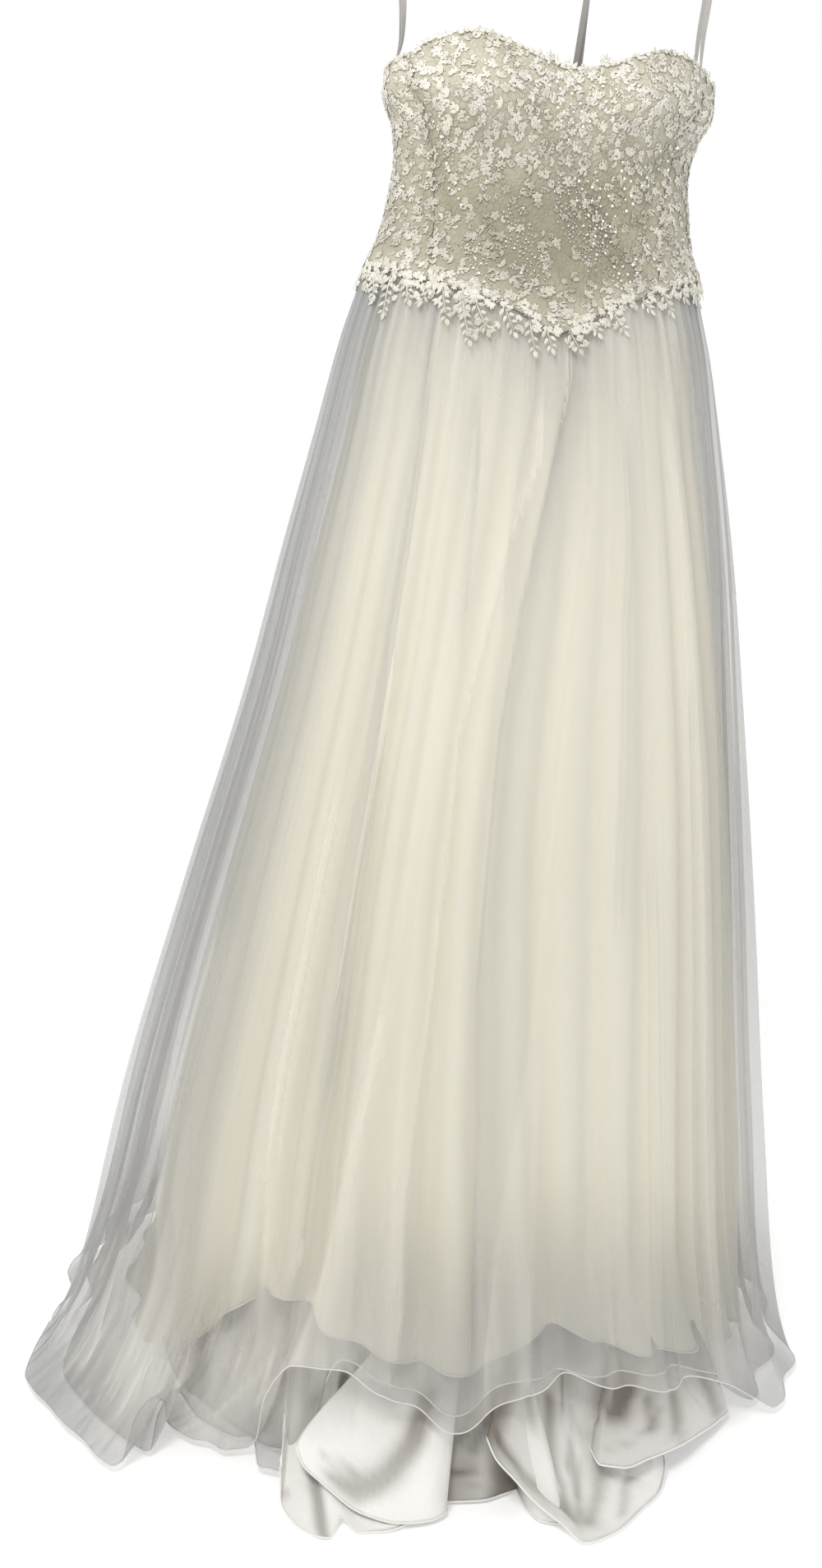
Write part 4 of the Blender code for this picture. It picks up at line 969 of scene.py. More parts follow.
def bodice_surface(turn, height, lift=0.0):
    """Points of the bodice's outer side, moved out by lift, and the way out from it."""
    s, c = np.sin(np.radians(turn)), np.cos(np.radians(turn))
    wide = along(BODICE, height, "side")
    deep = np.where(c > 0, along(BODICE, height, "front"), along(BODICE, height, "back"))
    flat = np.copysign(np.abs(c) ** (1 - BODICE_SQUARE), c)
    x = along(BODICE, height, "centre") + wide * s
    y = -deep * flat
    tall = hump(height, CUP_HEIGHT, CUP_TALL) * np.clip(CUP_FRONT * c, 0, 1)
    for cup in (-CUP_X, CUP_X):
        y = y - CUP_DEPTH * tall * hump(x, cup, CUP_WIDE)
    lift = np.asarray(lift) + np.zeros_like(x)
    for line, depth, width in BODICE_CREASES:
        turns, heights = np.array(line[::-1]).T
        ends = soft_step(heights[0] - CREASE_PAST, height, heights[0] + CREASE_INSIDE)
        ends = ends * soft_step(heights[-1] + CREASE_PAST, height, heights[-1] - CREASE_INSIDE)
        lift = lift - depth * ends * hump(turn, np.interp(height, heights, turns), width)
    out = np.stack([s / wide, -flat / deep, np.zeros_like(x)], -1)
    out /= np.linalg.norm(out, axis=-1, keepdims=True)
    return np.stack([x, y, height], -1) + out * lift[..., None], out


ground = Finish("lace_ground", Roughness=0.62, Sheen_Weight=0.2)
patches = ground.noise(ground.place, 26, 4, 0.6)
# The 'bright' mark paints light and shade on the ground: shady where it is low, sunny where it is high, each
# over its own soft patches.
shady = ground.blend(patches, (0.205, 0.185, 0.125), (0.32, 0.295, 0.215))
sunny = ground.blend(patches, (0.40, 0.37, 0.275), (0.60, 0.565, 0.465))
ground.drive("Base Color", ground.blend(ground.attribute("bright"), shady, sunny))
cord = ground.node("ShaderNodeTexVoronoi", {"feature": "DISTANCE_TO_EDGE"},
                   {"Vector": ground.place, "Scale": 140})
ground.bump(ground.clamp(0.0, cord, 0.25), 0.0012, 0.7)


# Where the lace lies in painted shade low in front, and how far along the cups (painted light) and the waist
# (its paler lace) it is bright: each the middle and the reach, as turns or heights
SHADED_FRONT_TURN, SHADED_FRONT_HEIGHT, BRIGHT_CUPS, BRIGHT_WAIST = (2, 33), (1.425, 0.064), (1.585, 0.045), 0.020
# Strips down from the armholes inside the side creases, and how much plainer they are and how much painted
# shade they get
STRIPS = [({"height": [1.403, 1.451, 1.498, 1.548, 1.600], "turn": [-32, -40, -49, -57, -62]}, 1.0),
          ({"height": [1.440, 1.500, 1.559, 1.600], "turn": [36, 40, 52, 62]}, 0.6)]
STRIP_WIDE, STRIP_FOOT, STRIP_TOP = 5, (1.425, 1.450), (1.590, 1.560)
# How pale the lace is painted: its own paler lace along the waist and in patches, painted light on the cups
# and more on the right one, painted shade low in front and in the strips.
PALE_AND_LIT = {"all": 0.50, "waist": 0.42, "cups": 0.46, "patches": 0.12, "right_cup": 0.12, "low_front": 0.52,
          "strips": 0.30}
RIGHT_CUP_TURN = 40


def shaded_low_front(turn, height):
    """Where the lace lies in shade low in front, from 0 to 1."""
    return hump(turn, *SHADED_FRONT_TURN, 4) * hump(height, *SHADED_FRONT_HEIGHT, 4)


def beside_cups(turn, height):
    """The plainer strips beside the cups, which get painted shade, from 0 to 1."""
    strips = sum(strong * hump(turn, np.interp(height, strip["height"], strip["turn"]), STRIP_WIDE)
                 for strip, strong in STRIPS)
    low, high = STRIP_FOOT
    return strips * soft_step(low, height, high) * soft_step(STRIP_TOP[0], height, STRIP_TOP[1])


def pale_and_lit_lace(turn, height):
    """How pale the lace is, with painted light and shade: painted shade low in front and in the strips,
    painted light on the cups, its own paler lace along the waist.
    """
    cups = hump(height, *BRIGHT_CUPS)
    lit = PALE_AND_LIT["all"] + PALE_AND_LIT["waist"] * hump(height, waist_height(turn), BRIGHT_WAIST)
    lit = lit + PALE_AND_LIT["cups"] * cups
    lit = lit + PALE_AND_LIT["patches"] * streaks(np.mod(turn * 1.7 + height * 420, 360) - 90, 7.0, 15)
    lit = lit + PALE_AND_LIT["right_cup"] * cups * soft_step(0, turn, RIGHT_CUP_TURN)
    lit = lit - PALE_AND_LIT["low_front"] * shaded_low_front(turn, height)
    return np.clip(lit - PALE_AND_LIT["strips"] * beside_cups(turn, height), 0, 1)


def princess(down):
    """The turn of the right princess seam at a share of the way down."""
    return PRINCESS_TOP + (PRINCESS_WAIST - PRINCESS_TOP) * down


PANELS = {  # the turn of each edge, as a function of the share of the way down
    "front": (lambda v: -princess(v), princess),
    "side_right": (princess, lambda v: BACK_SEAM + 0 * v),
    "side_left": (lambda v: -BACK_SEAM + 0 * v, lambda v: -princess(v)),
    "back_right": (lambda v: BACK_SEAM + 0 * v, lambda v: 180 + 0 * v),
    "back_left": (lambda v: -180 + 0 * v, lambda v: -BACK_SEAM + 0 * v),
}


def panel_grid(panel, rows, columns, gap=0.0, below=0.0, above=0.0):
    """Turns and heights over a panel, from below its top edge to above the waist, and how many
    degrees each point is from the nearest seam."""
    start, end = PANELS[panel]
    down = np.linspace(0, 1, rows)[:, None]
    aside = np.linspace(0, 1, columns)[None, :]
    turn = start(down) + gap + (end(down) - start(down) - 2 * gap) * aside
    high, low = along(TOP_EDGE, turn, "height") - below, waist_height(turn) + above
    return turn, high + (low - high) * down, np.minimum(aside, 1 - aside) * (end(down) - start(down))


for panel in PANELS:
    turn, height, seam = panel_grid(panel, 48, 110 if panel == "front" else 60, SEAM_GAP)
    dip = -SEAM_DIP * hump(seam * math.radians(1) * BODICE_RADIUS, 0, SEAM_WIDE)
    points, _ = bodice_surface(turn, height, dip)
    piece = cloth_piece(f"bodice_{panel}_panel", points, BODICE_CLOTH)
    mark(piece, "bright", pale_and_lit_lace(turn, height))
    finish_piece(piece, ground, "lace", "bodice_" + panel)

# Corded lace: ivory flowers, leaves and sprigs with raised edges, worked flat, then laid all over the
# bodice and sewn down. They crowd on the cups, at the sides and along the waist.
CORD_HIGH, CORD_ARCH, LAYER = 0.0008, 0.35, 0.0002
# Across a petal: place, height and how much of a cord it is, so that its edges stand up
PETAL_SECTION = [(-1, 0, 0.4), (-0.68, 1, 1), (0, 0.35, 0), (0.68, 1, 1), (1, 0, 0.4)]
PETAL = {"along": [0.0, 0.38, 0.78, 1.0], "wide": [0.30, 0.90, 0.95, 0.42]}
LEAF = {"along": [0.0, 0.34, 0.72, 1.0], "wide": [0.16, 1.00, 0.70, 0.05]}
PETAL_POINTS = len(PETAL["along"]) * len(PETAL_SECTION)
BLOSSOM_REACH, PETAL_WIDE = 0.0052, 0.0018
HEART_BACK, HEART_LONG, HEART_WIDE = 0.12, 0.30, 0.55  # a blossom's heart, as shares of a petal
STEM_LONG, STEM_WIDE, LEAF_SHRINK, LEAF_OUT, TIP_LONG = 0.25, 0.3, 0.13, 52, 1.1
MOTIF_LIFT, MOTIF_SIZE = (0.0003, 0.0013), (0.65, 1.20)
LACE_SPACING = {"front": 0.0060, "side": 0.0060, "back": 0.0080}
LACE_BELOW, LACE_ABOVE = 0.002, 0.001  # how far the lace stays from the top edge and the waist
DENSEST = 60000.0
# How thick the lace is sewn: all over, in soft patches and on the cups, and how much less it is
# between the cups, low in front and in the strips beside the cups
CROWD = {"all": 0.78, "patches": 0.22, "cups": 0.2, "between": 0.20, "low_front": 0.62, "strips": 0.55}
BETWEEN_TURN, BETWEEN_HEIGHT, CROWDED_CUPS = (0, 9), (1.545, 0.030), (1.570, 0.040)
CROWD_LEAST, CLEAR_OF_WAIST = 0.08, 0.03
RING_HEIGHT = 1.48  # where the bodice is measured round, to lay the lace flat


def place_petal(shape, outline, x, y, turn, length, half_width, lift=0.0):
    """Adds a petal or leaf to a shape's points, faces and cord marks, lying flat from (x, y)."""
    points, faces, cords = shape
    first = len(points)
    s, c = math.sin(math.radians(turn)), math.cos(math.radians(turn))
    for down, wide in zip(outline["along"], outline["wide"]):
        for aside, high, cord in PETAL_SECTION:
            u, v = aside * half_width * wide, down * length
            arch = math.sin(math.pi * min(down, 0.9)) * CORD_ARCH + 1 - CORD_ARCH
            points.append((x + u * c - v * s, y + u * s + v * c, lift + high * CORD_HIGH * arch))
            cords.append(cord)
    grid = grid_faces(len(outline["along"]), len(PETAL_SECTION), first)
    faces += [tuple(reversed(face)) for face in grid]


def sew_petals(name, petals):
    """A flat piece of lace, from its petals and leaves."""
    shape = ([], [], [])
    for petal in petals:
        place_petal(shape, *petal)
    piece = make_piece(name, shape[0], shape[1])
    mark(piece, "cord", shape[2])
    return piece


def blossom(reach, petals, wide):
    """Petals round a small heart."""
    heart = (PETAL, 0, -reach * HEART_BACK, 0, reach * HEART_LONG, wide * HEART_WIDE, CORD_HIGH)
    turns = [360 * k / petals for k in range(petals)]
    return [(PETAL, 0, 0, turn, reach, wide, LAYER * (k % 2)) for k, turn in enumerate(turns)] + [heart]


def sprig(length, pairs, leaf, wide, bend=18):
    """Leaves on both sides of a curved stem, and one at its tip."""
    made = [(LEAF, 0, 0, 0, length * STEM_LONG, wide * STEM_WIDE)]
    x, y, turn = 0.0, 0.0, 0.0
    for k in range(pairs):
        step, size = length / (pairs + 1), 1 - LEAF_SHRINK * k
        x, y = x - step * math.sin(math.radians(turn)), y + step * math.cos(math.radians(turn))
        turn += bend
        for way in (-1, 1):
            lift = LAYER * way + LAYER
            made.append((LEAF, x, y, turn + way * LEAF_OUT, leaf * size, wide * size, lift))
    return made + [(LEAF, x, y, turn, leaf * TIP_LONG, wide)]


lace_motifs = bpy.data.collections.new("lace_motifs")
leaf_motifs = bpy.data.collections.new("leaf_motifs")
for name, petals, group in (
    ("motif_a_blossom", blossom(BLOSSOM_REACH, 5, PETAL_WIDE), lace_motifs),
    ("motif_b_sprig", sprig(0.012, 3, 0.0050, 0.0014), lace_motifs),
    ("motif_c_sprig", sprig(0.011, 2, 0.0060, 0.0016, -24), lace_motifs),
    ("motif_d_leaves", sprig(0.005, 1, 0.0070, 0.0018, 30), lace_motifs),
    ("motif_e_leaf", [(LEAF, 0, 0, 0, 0.0085, 0.0020), (LEAF, 0, 0, 75, 0.0050, 0.0015)], lace_motifs),
    ("motif_f_leaf_pair", sprig(0.004, 1, 0.0085, 0.0024, -25), leaf_motifs),
    ("motif_g_small_sprig", sprig(0.009, 2, 0.0070, 0.0021, 20), leaf_motifs),
):
    motif = sew_petals(name, petals)
    bpy.context.scene.collection.objects.unlink(motif)
    group.objects.link(motif)


def scatter_tree():
    """Nodes that strew motifs over a flat ground, no closer than a spacing, each one spun."""
    tree = bpy.data.node_groups.new("strewn_lace", "GeometryNodeTree")
    for name, kind in (("Ground", "Geometry"), ("Motifs", "Collection"), ("Spacing", "Float"),
                       ("Smallest", "Float"), ("Largest", "Float"), ("Lowest", "Float"),
                       ("Highest", "Float"), ("Seed", "Int"), ("Look", "Material")):
        tree.interface.new_socket(name, in_out="INPUT", socket_type="NodeSocket" + kind)
    tree.interface.new_socket("Lace", in_out="OUTPUT", socket_type="NodeSocketGeometry")
    net = Net(tree)
    given = tree.nodes.new("NodeGroupInput")
    ground, motifs, spacing, smallest, largest, lowest, highest, seed, look = [
        Value(net, given.outputs[k]) for k in range(9)
    ]

    def between(low, high, offset):
        return net.node("FunctionNodeRandomValue", None, {2: low, 3: high, 8: seed + offset}, 1)

    thick = net.node("GeometryNodeInputNamedAttribute", {"data_type": "FLOAT"}, {"Name": "thick"})
    strewn = net.node("GeometryNodeDistributePointsOnFaces", {"distribute_method": "POISSON"},
                      {"Mesh": ground, "Distance Min": spacing, "Density Max": DENSEST,
                       "Density Factor": thick, "Seed": seed})
    raised = net.node("ShaderNodeCombineXYZ", None, {2: between(lowest, highest, 3)})
    strewn = net.node("GeometryNodeSetPosition", None, {"Geometry": strewn, "Offset": raised})
    spin = net.node("ShaderNodeCombineXYZ", None, {2: between(0.0, math.tau, 1)})
    shelf = net.node("GeometryNodeCollectionInfo", None,
                     {"Collection": motifs, "Separate Children": True, "Reset Children": True})
    placed = net.node("GeometryNodeInstanceOnPoints", None,
                      {"Points": strewn, "Instance": shelf, "Pick Instance": True,
                       "Rotation": spin, "Scale": between(smallest, largest, 2)})
    toned = net.node("GeometryNodeStoreNamedAttribute", {"domain": "INSTANCE", "data_type": "FLOAT"},
                     {"Geometry": placed, "Name": "tint", "Value": between(0.0, 1.0, 5)})
    real = net.node("GeometryNodeRealizeInstances", None, {"Geometry": toned})
    dressed = net.node("GeometryNodeSetMaterial", None, {"Geometry": real, "Material": look})
    end = tree.nodes.new("NodeGroupOutput")
    tree.links.new(dressed.socket, end.inputs[0])
    return tree


strewing = scatter_tree()


def strew(name, ground, **inputs):
    """A plain mesh of what the nodes make on a flat ground, which is then thrown away."""
    step = ground.modifiers.new("lace", "NODES")
    step.node_group = strewing
    for item in strewing.interface.items_tree:
        if item.in_out == "INPUT" and item.name in inputs:
            step[item.identifier] = inputs[item.name]
    bpy.context.view_layer.update()
    state = bpy.context.evaluated_depsgraph_get()
    mesh = bpy.data.meshes.new_from_object(
        ground.evaluated_get(state), preserve_all_data_layers=True, depsgraph=state)
    ground.modifiers.remove(step)
    mesh.shade_smooth()
    made = bpy.data.objects.new(name, mesh)
    bpy.context.scene.collection.objects.link(made)
    bpy.data.objects.remove(ground)
    return made


def flat_ground(name, turn, height, ring, thick):
    """A flat grid as the cloth lies before it is wrapped round the dress."""
    arc = np.interp(turn, *ring)
    points = np.stack([arc, height, np.zeros_like(arc)], -1)
    ground = make_piece(name, points.reshape(-1, 3), grid_faces(*arc.shape)[::-1], smooth=False)
    ground.data.flip_normals()
    mark(ground, "thick", thick)
    return ground


def ring_round(height):
    """Turns round the bodice and how far along its ring each one is."""
    turns = np.linspace(-180, 270, 901)
    points, _ = bodice_surface(turns, np.full(901, height))
    steps = np.linalg.norm(np.diff(points, axis=0, prepend=points[:1]), axis=1)
    return turns, np.cumsum(steps)


def read_points(piece):
    """The points of a piece, one to a row."""
    flat = np.empty(len(piece.data.vertices) * 3)
    piece.data.vertices.foreach_get("co", flat)
    return flat.reshape(-1, 3)


def dress_surface(turn, height, lift):
    """The bodice, or below its waist the outer tulle, moved out by lift."""
    bodice, _ = bodice_surface(turn, height, lift)
    skirt_x, skirt_y = skirt_section(OUTER_SHARE, 1.0, turn, np.minimum(height, waist_height(turn)))
    s, c = np.sin(np.radians(turn)), np.cos(np.radians(turn))
    skirt = np.stack([skirt_x + s * lift, skirt_y - c * lift, height], -1)
    share = soft_step(0.0, waist_height(turn) - height, 0.020)[..., None]
    return bodice * (1 - share) + skirt * share


def wrap(piece, ring, raise_by=0.0, paler=0.0):
    """Bends a flat piece round the dress, where its height and its turn say."""
    flat = read_points(piece)
    turn = np.interp(flat[:, 0], ring[1], ring[0])
    points = dress_surface(turn, flat[:, 1], flat[:, 2] + raise_by) - (0, 0, HANG)
    mark(piece, "bright", pale_and_lit_lace(turn, flat[:, 1]) + paler)
    piece.data.vertices.foreach_set("co", points.ravel())
    piece.data.update()


def crowding(turn, height):
    """How thick the lace is sewn, from 0 to 1."""
    between = hump(turn, *BETWEEN_TURN) * hump(height, *BETWEEN_HEIGHT)
    patches = 0.5 + 0.5 * np.sin(turn * 0.21 + 1.3) * np.sin(height * 90 + turn * 0.05)
    clear = soft_step(0.0, height - waist_height(turn), CLEAR_OF_WAIST)
    sparse = CROWD["low_front"] * shaded_low_front(turn, height) * clear
    sparse = sparse + CROWD["strips"] * beside_cups(turn, height)
    thick = CROWD["all"] - sparse - CROWD["between"] * between + CROWD["patches"] * patches
    return np.clip(thick + CROWD["cups"] * hump(height, *CROWDED_CUPS), CROWD_LEAST, 1)


thread = Finish("ivory_lace_thread", Roughness=0.42, Sheen_Weight=0.15, Specular_IOR_Level=0.5)
corded = thread.attribute("cord")
drift = thread.noise(thread.place, 55, 2)
# The thread is painted from shade to light by the 'bright' mark, over its own drift and tint; its cords are
# paler.
dull_and_shaded_thread = thread.blend(corded, (0.26, 0.24, 0.175), (0.50, 0.47, 0.385))
pale_and_lit_thread = thread.blend(corded, (0.56, 0.53, 0.44), (0.90, 0.875, 0.80))
thread_pale_and_lit = 0.2 * drift + 0.8 * thread.attribute("bright") + 0.55 * (thread.attribute("tint") - 0.5)
thread.drive("Base Color", thread.blend(thread_pale_and_lit, dull_and_shaded_thread, pale_and_lit_thread))
thread.bump(thread.noise(thread.place, 2600, 2), 0.0003, 0.5)

ring = ring_round(RING_HEIGHT)
for number, panel in enumerate(PANELS):
    turn, height, _ = panel_grid(panel, 40, 60, 0.0, LACE_BELOW, LACE_ABOVE)
    ground_mesh = flat_ground("flat_panel", turn, height, ring, crowding(turn, height))
    lace = strew(f"corded_lace_{panel}", ground_mesh, Motifs=lace_motifs, Look=thread.material,
                 Spacing=LACE_SPACING[panel.split("_")[0]], Smallest=MOTIF_SIZE[0],
                 Largest=MOTIF_SIZE[1], Lowest=MOTIF_LIFT[0], Highest=MOTIF_LIFT[1], Seed=11 + number)
    wrap(lace, ring)
    finish_piece(lace, thread, "lace")

# Beads and sequins: small silver and clear beads sewn in groups among the flowers, and a few flat
# ivory sequins, all held by their thread.
BEAD_RADIUS, SEQUIN_RADIUS, SEQUIN_SIDES, SEQUIN_CUP = 0.0010, 0.0015, 8, 0.0003
BEAD_SIZE, TRIM_TURN, TRIM_BELOW, FRONT_SHARE = (0.7, 1.15), 178, 0.004, 0.35
beads = bpy.data.collections.new("beads")
sequins = bpy.data.collections.new("sequins")
bead_shape = bmesh.new()
bmesh.ops.create_icosphere(bead_shape, subdivisions=1, radius=BEAD_RADIUS)
bead_mesh = bpy.data.meshes.new("bead")
bead_shape.to_mesh(bead_mesh)
bead_shape.free()
beads.objects.link(bpy.data.objects.new("bead", bead_mesh))
turns = [k * math.tau / SEQUIN_SIDES for k in range(SEQUIN_SIDES)]
disc = [(SEQUIN_RADIUS * math.sin(a), SEQUIN_RADIUS * math.cos(a), SEQUIN_CUP) for a in turns]
fan = [(0, (k + 1) % SEQUIN_SIDES + 1, k + 1) for k in range(SEQUIN_SIDES)]
sequin_mesh = bpy.data.meshes.new("sequin")
sequin_mesh.from_pydata([(0, 0, 0), *disc], [], fan)
sequins.objects.link(bpy.data.objects.new("sequin", sequin_mesh))

silver = Finish("silver_beads", Metallic=0.9, Roughness=0.18)
silver.mottle(300, 1, (0.36, 0.35, 0.33), (0.80, 0.80, 0.79))
clear = Finish("clear_beads", Metallic=0.15, Roughness=0.06, Coat_Weight=1.0)
clear.mottle(260, 1, (0.66, 0.65, 0.62), (0.97, 0.97, 0.98))
foil = Finish("ivory_sequins", Metallic=0.35, Roughness=0.14)
foil.mottle(200, 1, (0.82, 0.80, 0.72), (0.96, 0.93, 0.90))


def grouped(turn, height, seed, share):
    """Where small trimmings are sewn: 1 in scattered groups, 0 between them."""
    first = streaks(turn * 1.0 + height * 160, 5.0, seed)
    second = streaks(turn * 0.6 - height * 260 + 400, 5.0, seed + 20)
    return np.clip((first * second + first - 1 + share) * 2.5, 0, 1)


# name, motif, finish, spacing, how much of the bodice they cover, lowest and highest place
for number, (name, motifs, look, spacing, share, lowest, highest) in enumerate((
    ("silver_beads", beads, silver, 0.0034, 0.50, 0.0012, 0.0022),
    ("clear_beads", beads, clear, 0.0038, 0.52, 0.0012, 0.0022),
    ("ivory_sequins", sequins, foil, 0.0080, 0.70, 0.0014, 0.0022),
)):
    down = np.linspace(0, 1, 90)[:, None]
    turn = np.linspace(-TRIM_TURN, TRIM_TURN, 420)[None, :] + 0 * down
    high, low = along(TOP_EDGE, turn, "height") - TRIM_BELOW, waist_height(turn) - TRIM_BELOW
    height = high + (low - high) * down
    share = share + FRONT_SHARE * shaded_low_front(turn, height)
    sewn = grouped(np.mod(turn + 90, 360) - 90, height, 31 + number, share)
    ground_mesh = flat_ground("flat_band", turn, height, ring, sewn)
    trim = strew(name, ground_mesh, Motifs=motifs, Look=look.material, Spacing=spacing,
                 Smallest=BEAD_SIZE[0], Largest=BEAD_SIZE[1], Lowest=lowest, Highest=highest,
                 Seed=51 + number)
    wrap(trim, ring)
    finish_piece(trim, look, "lace")

# Lace borders: leaves with corded edges set side by side, one row along the neckline that stands a
# little over it, and a bright dense band along the waist with sprigs hanging over the skirt.
LACE_EDGE = {
    "turn": [-90, -76, -66, -56, -47, -38, -31, -27, -22, -17, -9, -3, 2, 9, 15, 24, 34, 44, 54, 66,
             78, 90, 112, 128, 144, 160, 180, 200, 216, 232, 248, 270],
    "drop": [0.020, 0.022, 0.034, 0.056, 0.030, 0.030, 0.045, 0.034, 0.062, 0.036, 0.026, 0.030, 0.020,
             0.028, 0.020, 0.034, 0.018, 0.030, 0.018, 0.028, 0.018, 0.020, 0.040, 0.020, 0.044,
             0.022, 0.046, 0.022, 0.044, 0.020, 0.040, 0.020],
}
# How thick the band along the waist is sewn, from 0 to 1
WAIST_CROWD = {
    "turn": [-90, -80, -66, -56, -44, -34, -26, -18, -12, -7, -2, 4, 9, 16, 24, 32, 42, 52, 62, 74, 90,
             110, 130, 150, 165, 180, 200, 220, 240, 270],
    "share": [0.9, 0.9, 1.0, 0.7, 0.9, 0.7, 1.0, 0.6, 0.3, 0.8, 0.3, 0.15, 0.5, 0.8, 0.7, 0.3, 0.6, 0.5,
              0.9, 1.0, 0.9, 0.6, 0.9, 0.5, 0.8, 0.9, 0.6, 0.9, 0.6, 0.9],
}
NECK_RING_HEIGHT, WAIST_RING_HEIGHT = 1.60, 1.36
BORDER_LIFT, BORDER_PALER = 0.0015, 0.18
# Leaves along the neckline: step, margin at the ends, how far they hang, lean, length, width and lift
NECK_STEP, NECK_MARGIN, NECK_DROP, NECK_LEAN = 0.0062, 0.002, 0.0022, (62, 100)
NECK_LONG, NECK_WIDE, NECK_LIFT = (0.006, 0.009), 0.0021, (0, 0.0008)
STANDING_ROOT, STANDING_WIDE, STANDING_LIFT = 0.40, 0.24, 0.0005
# Fans along the waist: height over it and step of each row, the turns of a fan's leaves, and how far
# each fan strays along, up, in lean and in size
FAN_ROWS, FAN_LEAVES = ((0.004, 0.0095), (-0.004, 0.0105)), (-68, -34, 0, 34, 68)
FAN_STRAY, FAN_RISE, FAN_LEAN, FAN_LONG = 0.25, (-0.003, 0.005), 60, (0.0060, 0.0095)
FAN_SPREAD, FAN_WIDE, FAN_ROW_LIFT, FAN_LIFT, FAN_SHRINK = 8, 0.21, 0.0003, (0, 0.0005), 300
# Leaves down a hanging sprig: their step and length, how much shorter the last are, lean and width
SPRIG_STEP, SPRIG_LONG, SPRIG_SHRINK, SPRIG_LEAN, SPRIG_WIDE = 0.0088, 0.0088, 0.0026, 44, 0.23
SPRIG_SPREAD, SPRIG_VARY, SPRIG_ASIDE, SPRIG_LIFT = 9, (0.85, 1.1), 0.0012, 0.0016
SPRIG_STEM, SPRIG_TIP, SPRIG_TIP_LIFT, SPRIG_END = 0.0006, (0.0085, 0.0024), 0.0018, 0.008
# The lace strewn between them: from above the waist to so much short of the sprigs, and its motifs
BORDER_ABOVE, BORDER_SHORT, BORDER_LEAST = 0.010, 0.009, 0.006
BORDER_LACE = {"Spacing": 0.0070, "Smallest": 0.55, "Largest": 0.95, "Lowest": 0.0012,
               "Highest": 0.0021}
# turn of each hanging sprig's root and tip, and how far below the waist its tip is
SPRIGS = [(-84, -88, 0.022), (-78, -72, 0.024), (-70, -64, 0.036), (-58, -56, 0.054), (-51, -46, 0.034),
          (-38, -41, 0.032), (-35, -31, 0.044), (-28, -23, 0.060), (-24, -18, 0.044), (-14, -10, 0.034),
          (-6, -4, 0.042), (-1, 1, 0.030), (6, 9, 0.032), (13, 15, 0.026), (20, 24, 0.036),
          (32, 35, 0.022), (42, 45, 0.032), (52, 55, 0.022), (61, 66, 0.030), (74, 79, 0.022),
          (88, 92, 0.024), (104, 112, 0.040), (124, 129, 0.024), (138, 144, 0.044), (156, 161, 0.026),
          (174, 180, 0.046), (197, 201, 0.026), (210, 216, 0.044), (229, 233, 0.024), (242, 248, 0.040)]
# turn, lean in degrees and length of the leaves that stand up from the neckline in front
NECK_LEAVES = [(-51, 10, 0.007), (-47, -20, 0.008), (-34, -30, 0.009), (-27, 25, 0.007), (-18, 15, 0.006),
               (-11.5, -20, 0.009), (-4.4, 10, 0.012), (0.5, -35, 0.009), (14, 20, 0.007),
               (30, -15, 0.008), (46, 15, 0.009), (51, -20, 0.010), (63, -35, 0.011), (74, -60, 0.012)]


chance = np.random.default_rng(77)


def border_piece(name, petals, ring, *nodes):
    """Leaves sewn in a row, bent round the dress."""
    piece = sew_petals(name, petals)
    mark(piece, "tint", np.repeat(chance.uniform(0.0, 0.9, len(petals)), PETAL_POINTS))
    wrap(piece, ring, BORDER_LIFT, BORDER_PALER)
    finish_piece(piece, thread, "lace", *nodes)


def waist_fans(start, end):
    """Small fans of leaves in two rows along the waist."""
    petals = []
    for row, (above, step) in enumerate(FAN_ROWS):
        for x in np.arange(start + step / 2, end, step):
            x = float(x + chance.uniform(-FAN_STRAY, FAN_STRAY) * step)
            turn = float(np.interp(x, waist_ring[1], waist_ring[0]))
            if chance.uniform(0, 1) > float(along(WAIST_CROWD, turn, "share")):
                continue
            y = float(waist_height(turn)) + above
            y += chance.uniform(*FAN_RISE)
            lean, size = 180 + chance.uniform(-FAN_LEAN, FAN_LEAN), chance.uniform(*FAN_LONG)
            for fan in FAN_LEAVES:
                lie = lean + fan + chance.uniform(-FAN_SPREAD, FAN_SPREAD)
                petals.append((LEAF, x, y, lie, size * (1 - abs(fan) / FAN_SHRINK), size * FAN_WIDE,
                               FAN_ROW_LIFT * row + chance.uniform(*FAN_LIFT)))
    return petals


def hanging_sprig(root, tip, drop):
    """A stem with leaves on both sides, from the waist down over the skirt."""
    top = np.array([np.interp(root, *waist_ring), float(waist_height(root))])
    foot = np.array([np.interp(tip, *waist_ring), float(waist_height(tip)) - drop + SPRIG_END])
    way = foot - top
    turn, length = math.degrees(math.atan2(-way[0], way[1])), float(np.linalg.norm(way))
    count = max(2, round(length / SPRIG_STEP))
    petals = []
    for k in range(count):
        centre = top + way * (k + 0.5) / count
        size = SPRIG_LONG - SPRIG_SHRINK * k / count
        for side in (-1, 1):
            lie = turn + side * (SPRIG_LEAN + chance.uniform(-SPRIG_SPREAD, SPRIG_SPREAD))
            petals.append((LEAF, *(centre + side * SPRIG_ASIDE), lie, size * chance.uniform(*SPRIG_VARY),
                           size * SPRIG_WIDE, SPRIG_LIFT + LAYER * side))
    petals.append((LEAF, *top, turn, length, SPRIG_STEM, SPRIG_LIFT))
    petals.append((LEAF, *foot, turn, *SPRIG_TIP, SPRIG_TIP_LIFT))
    return petals


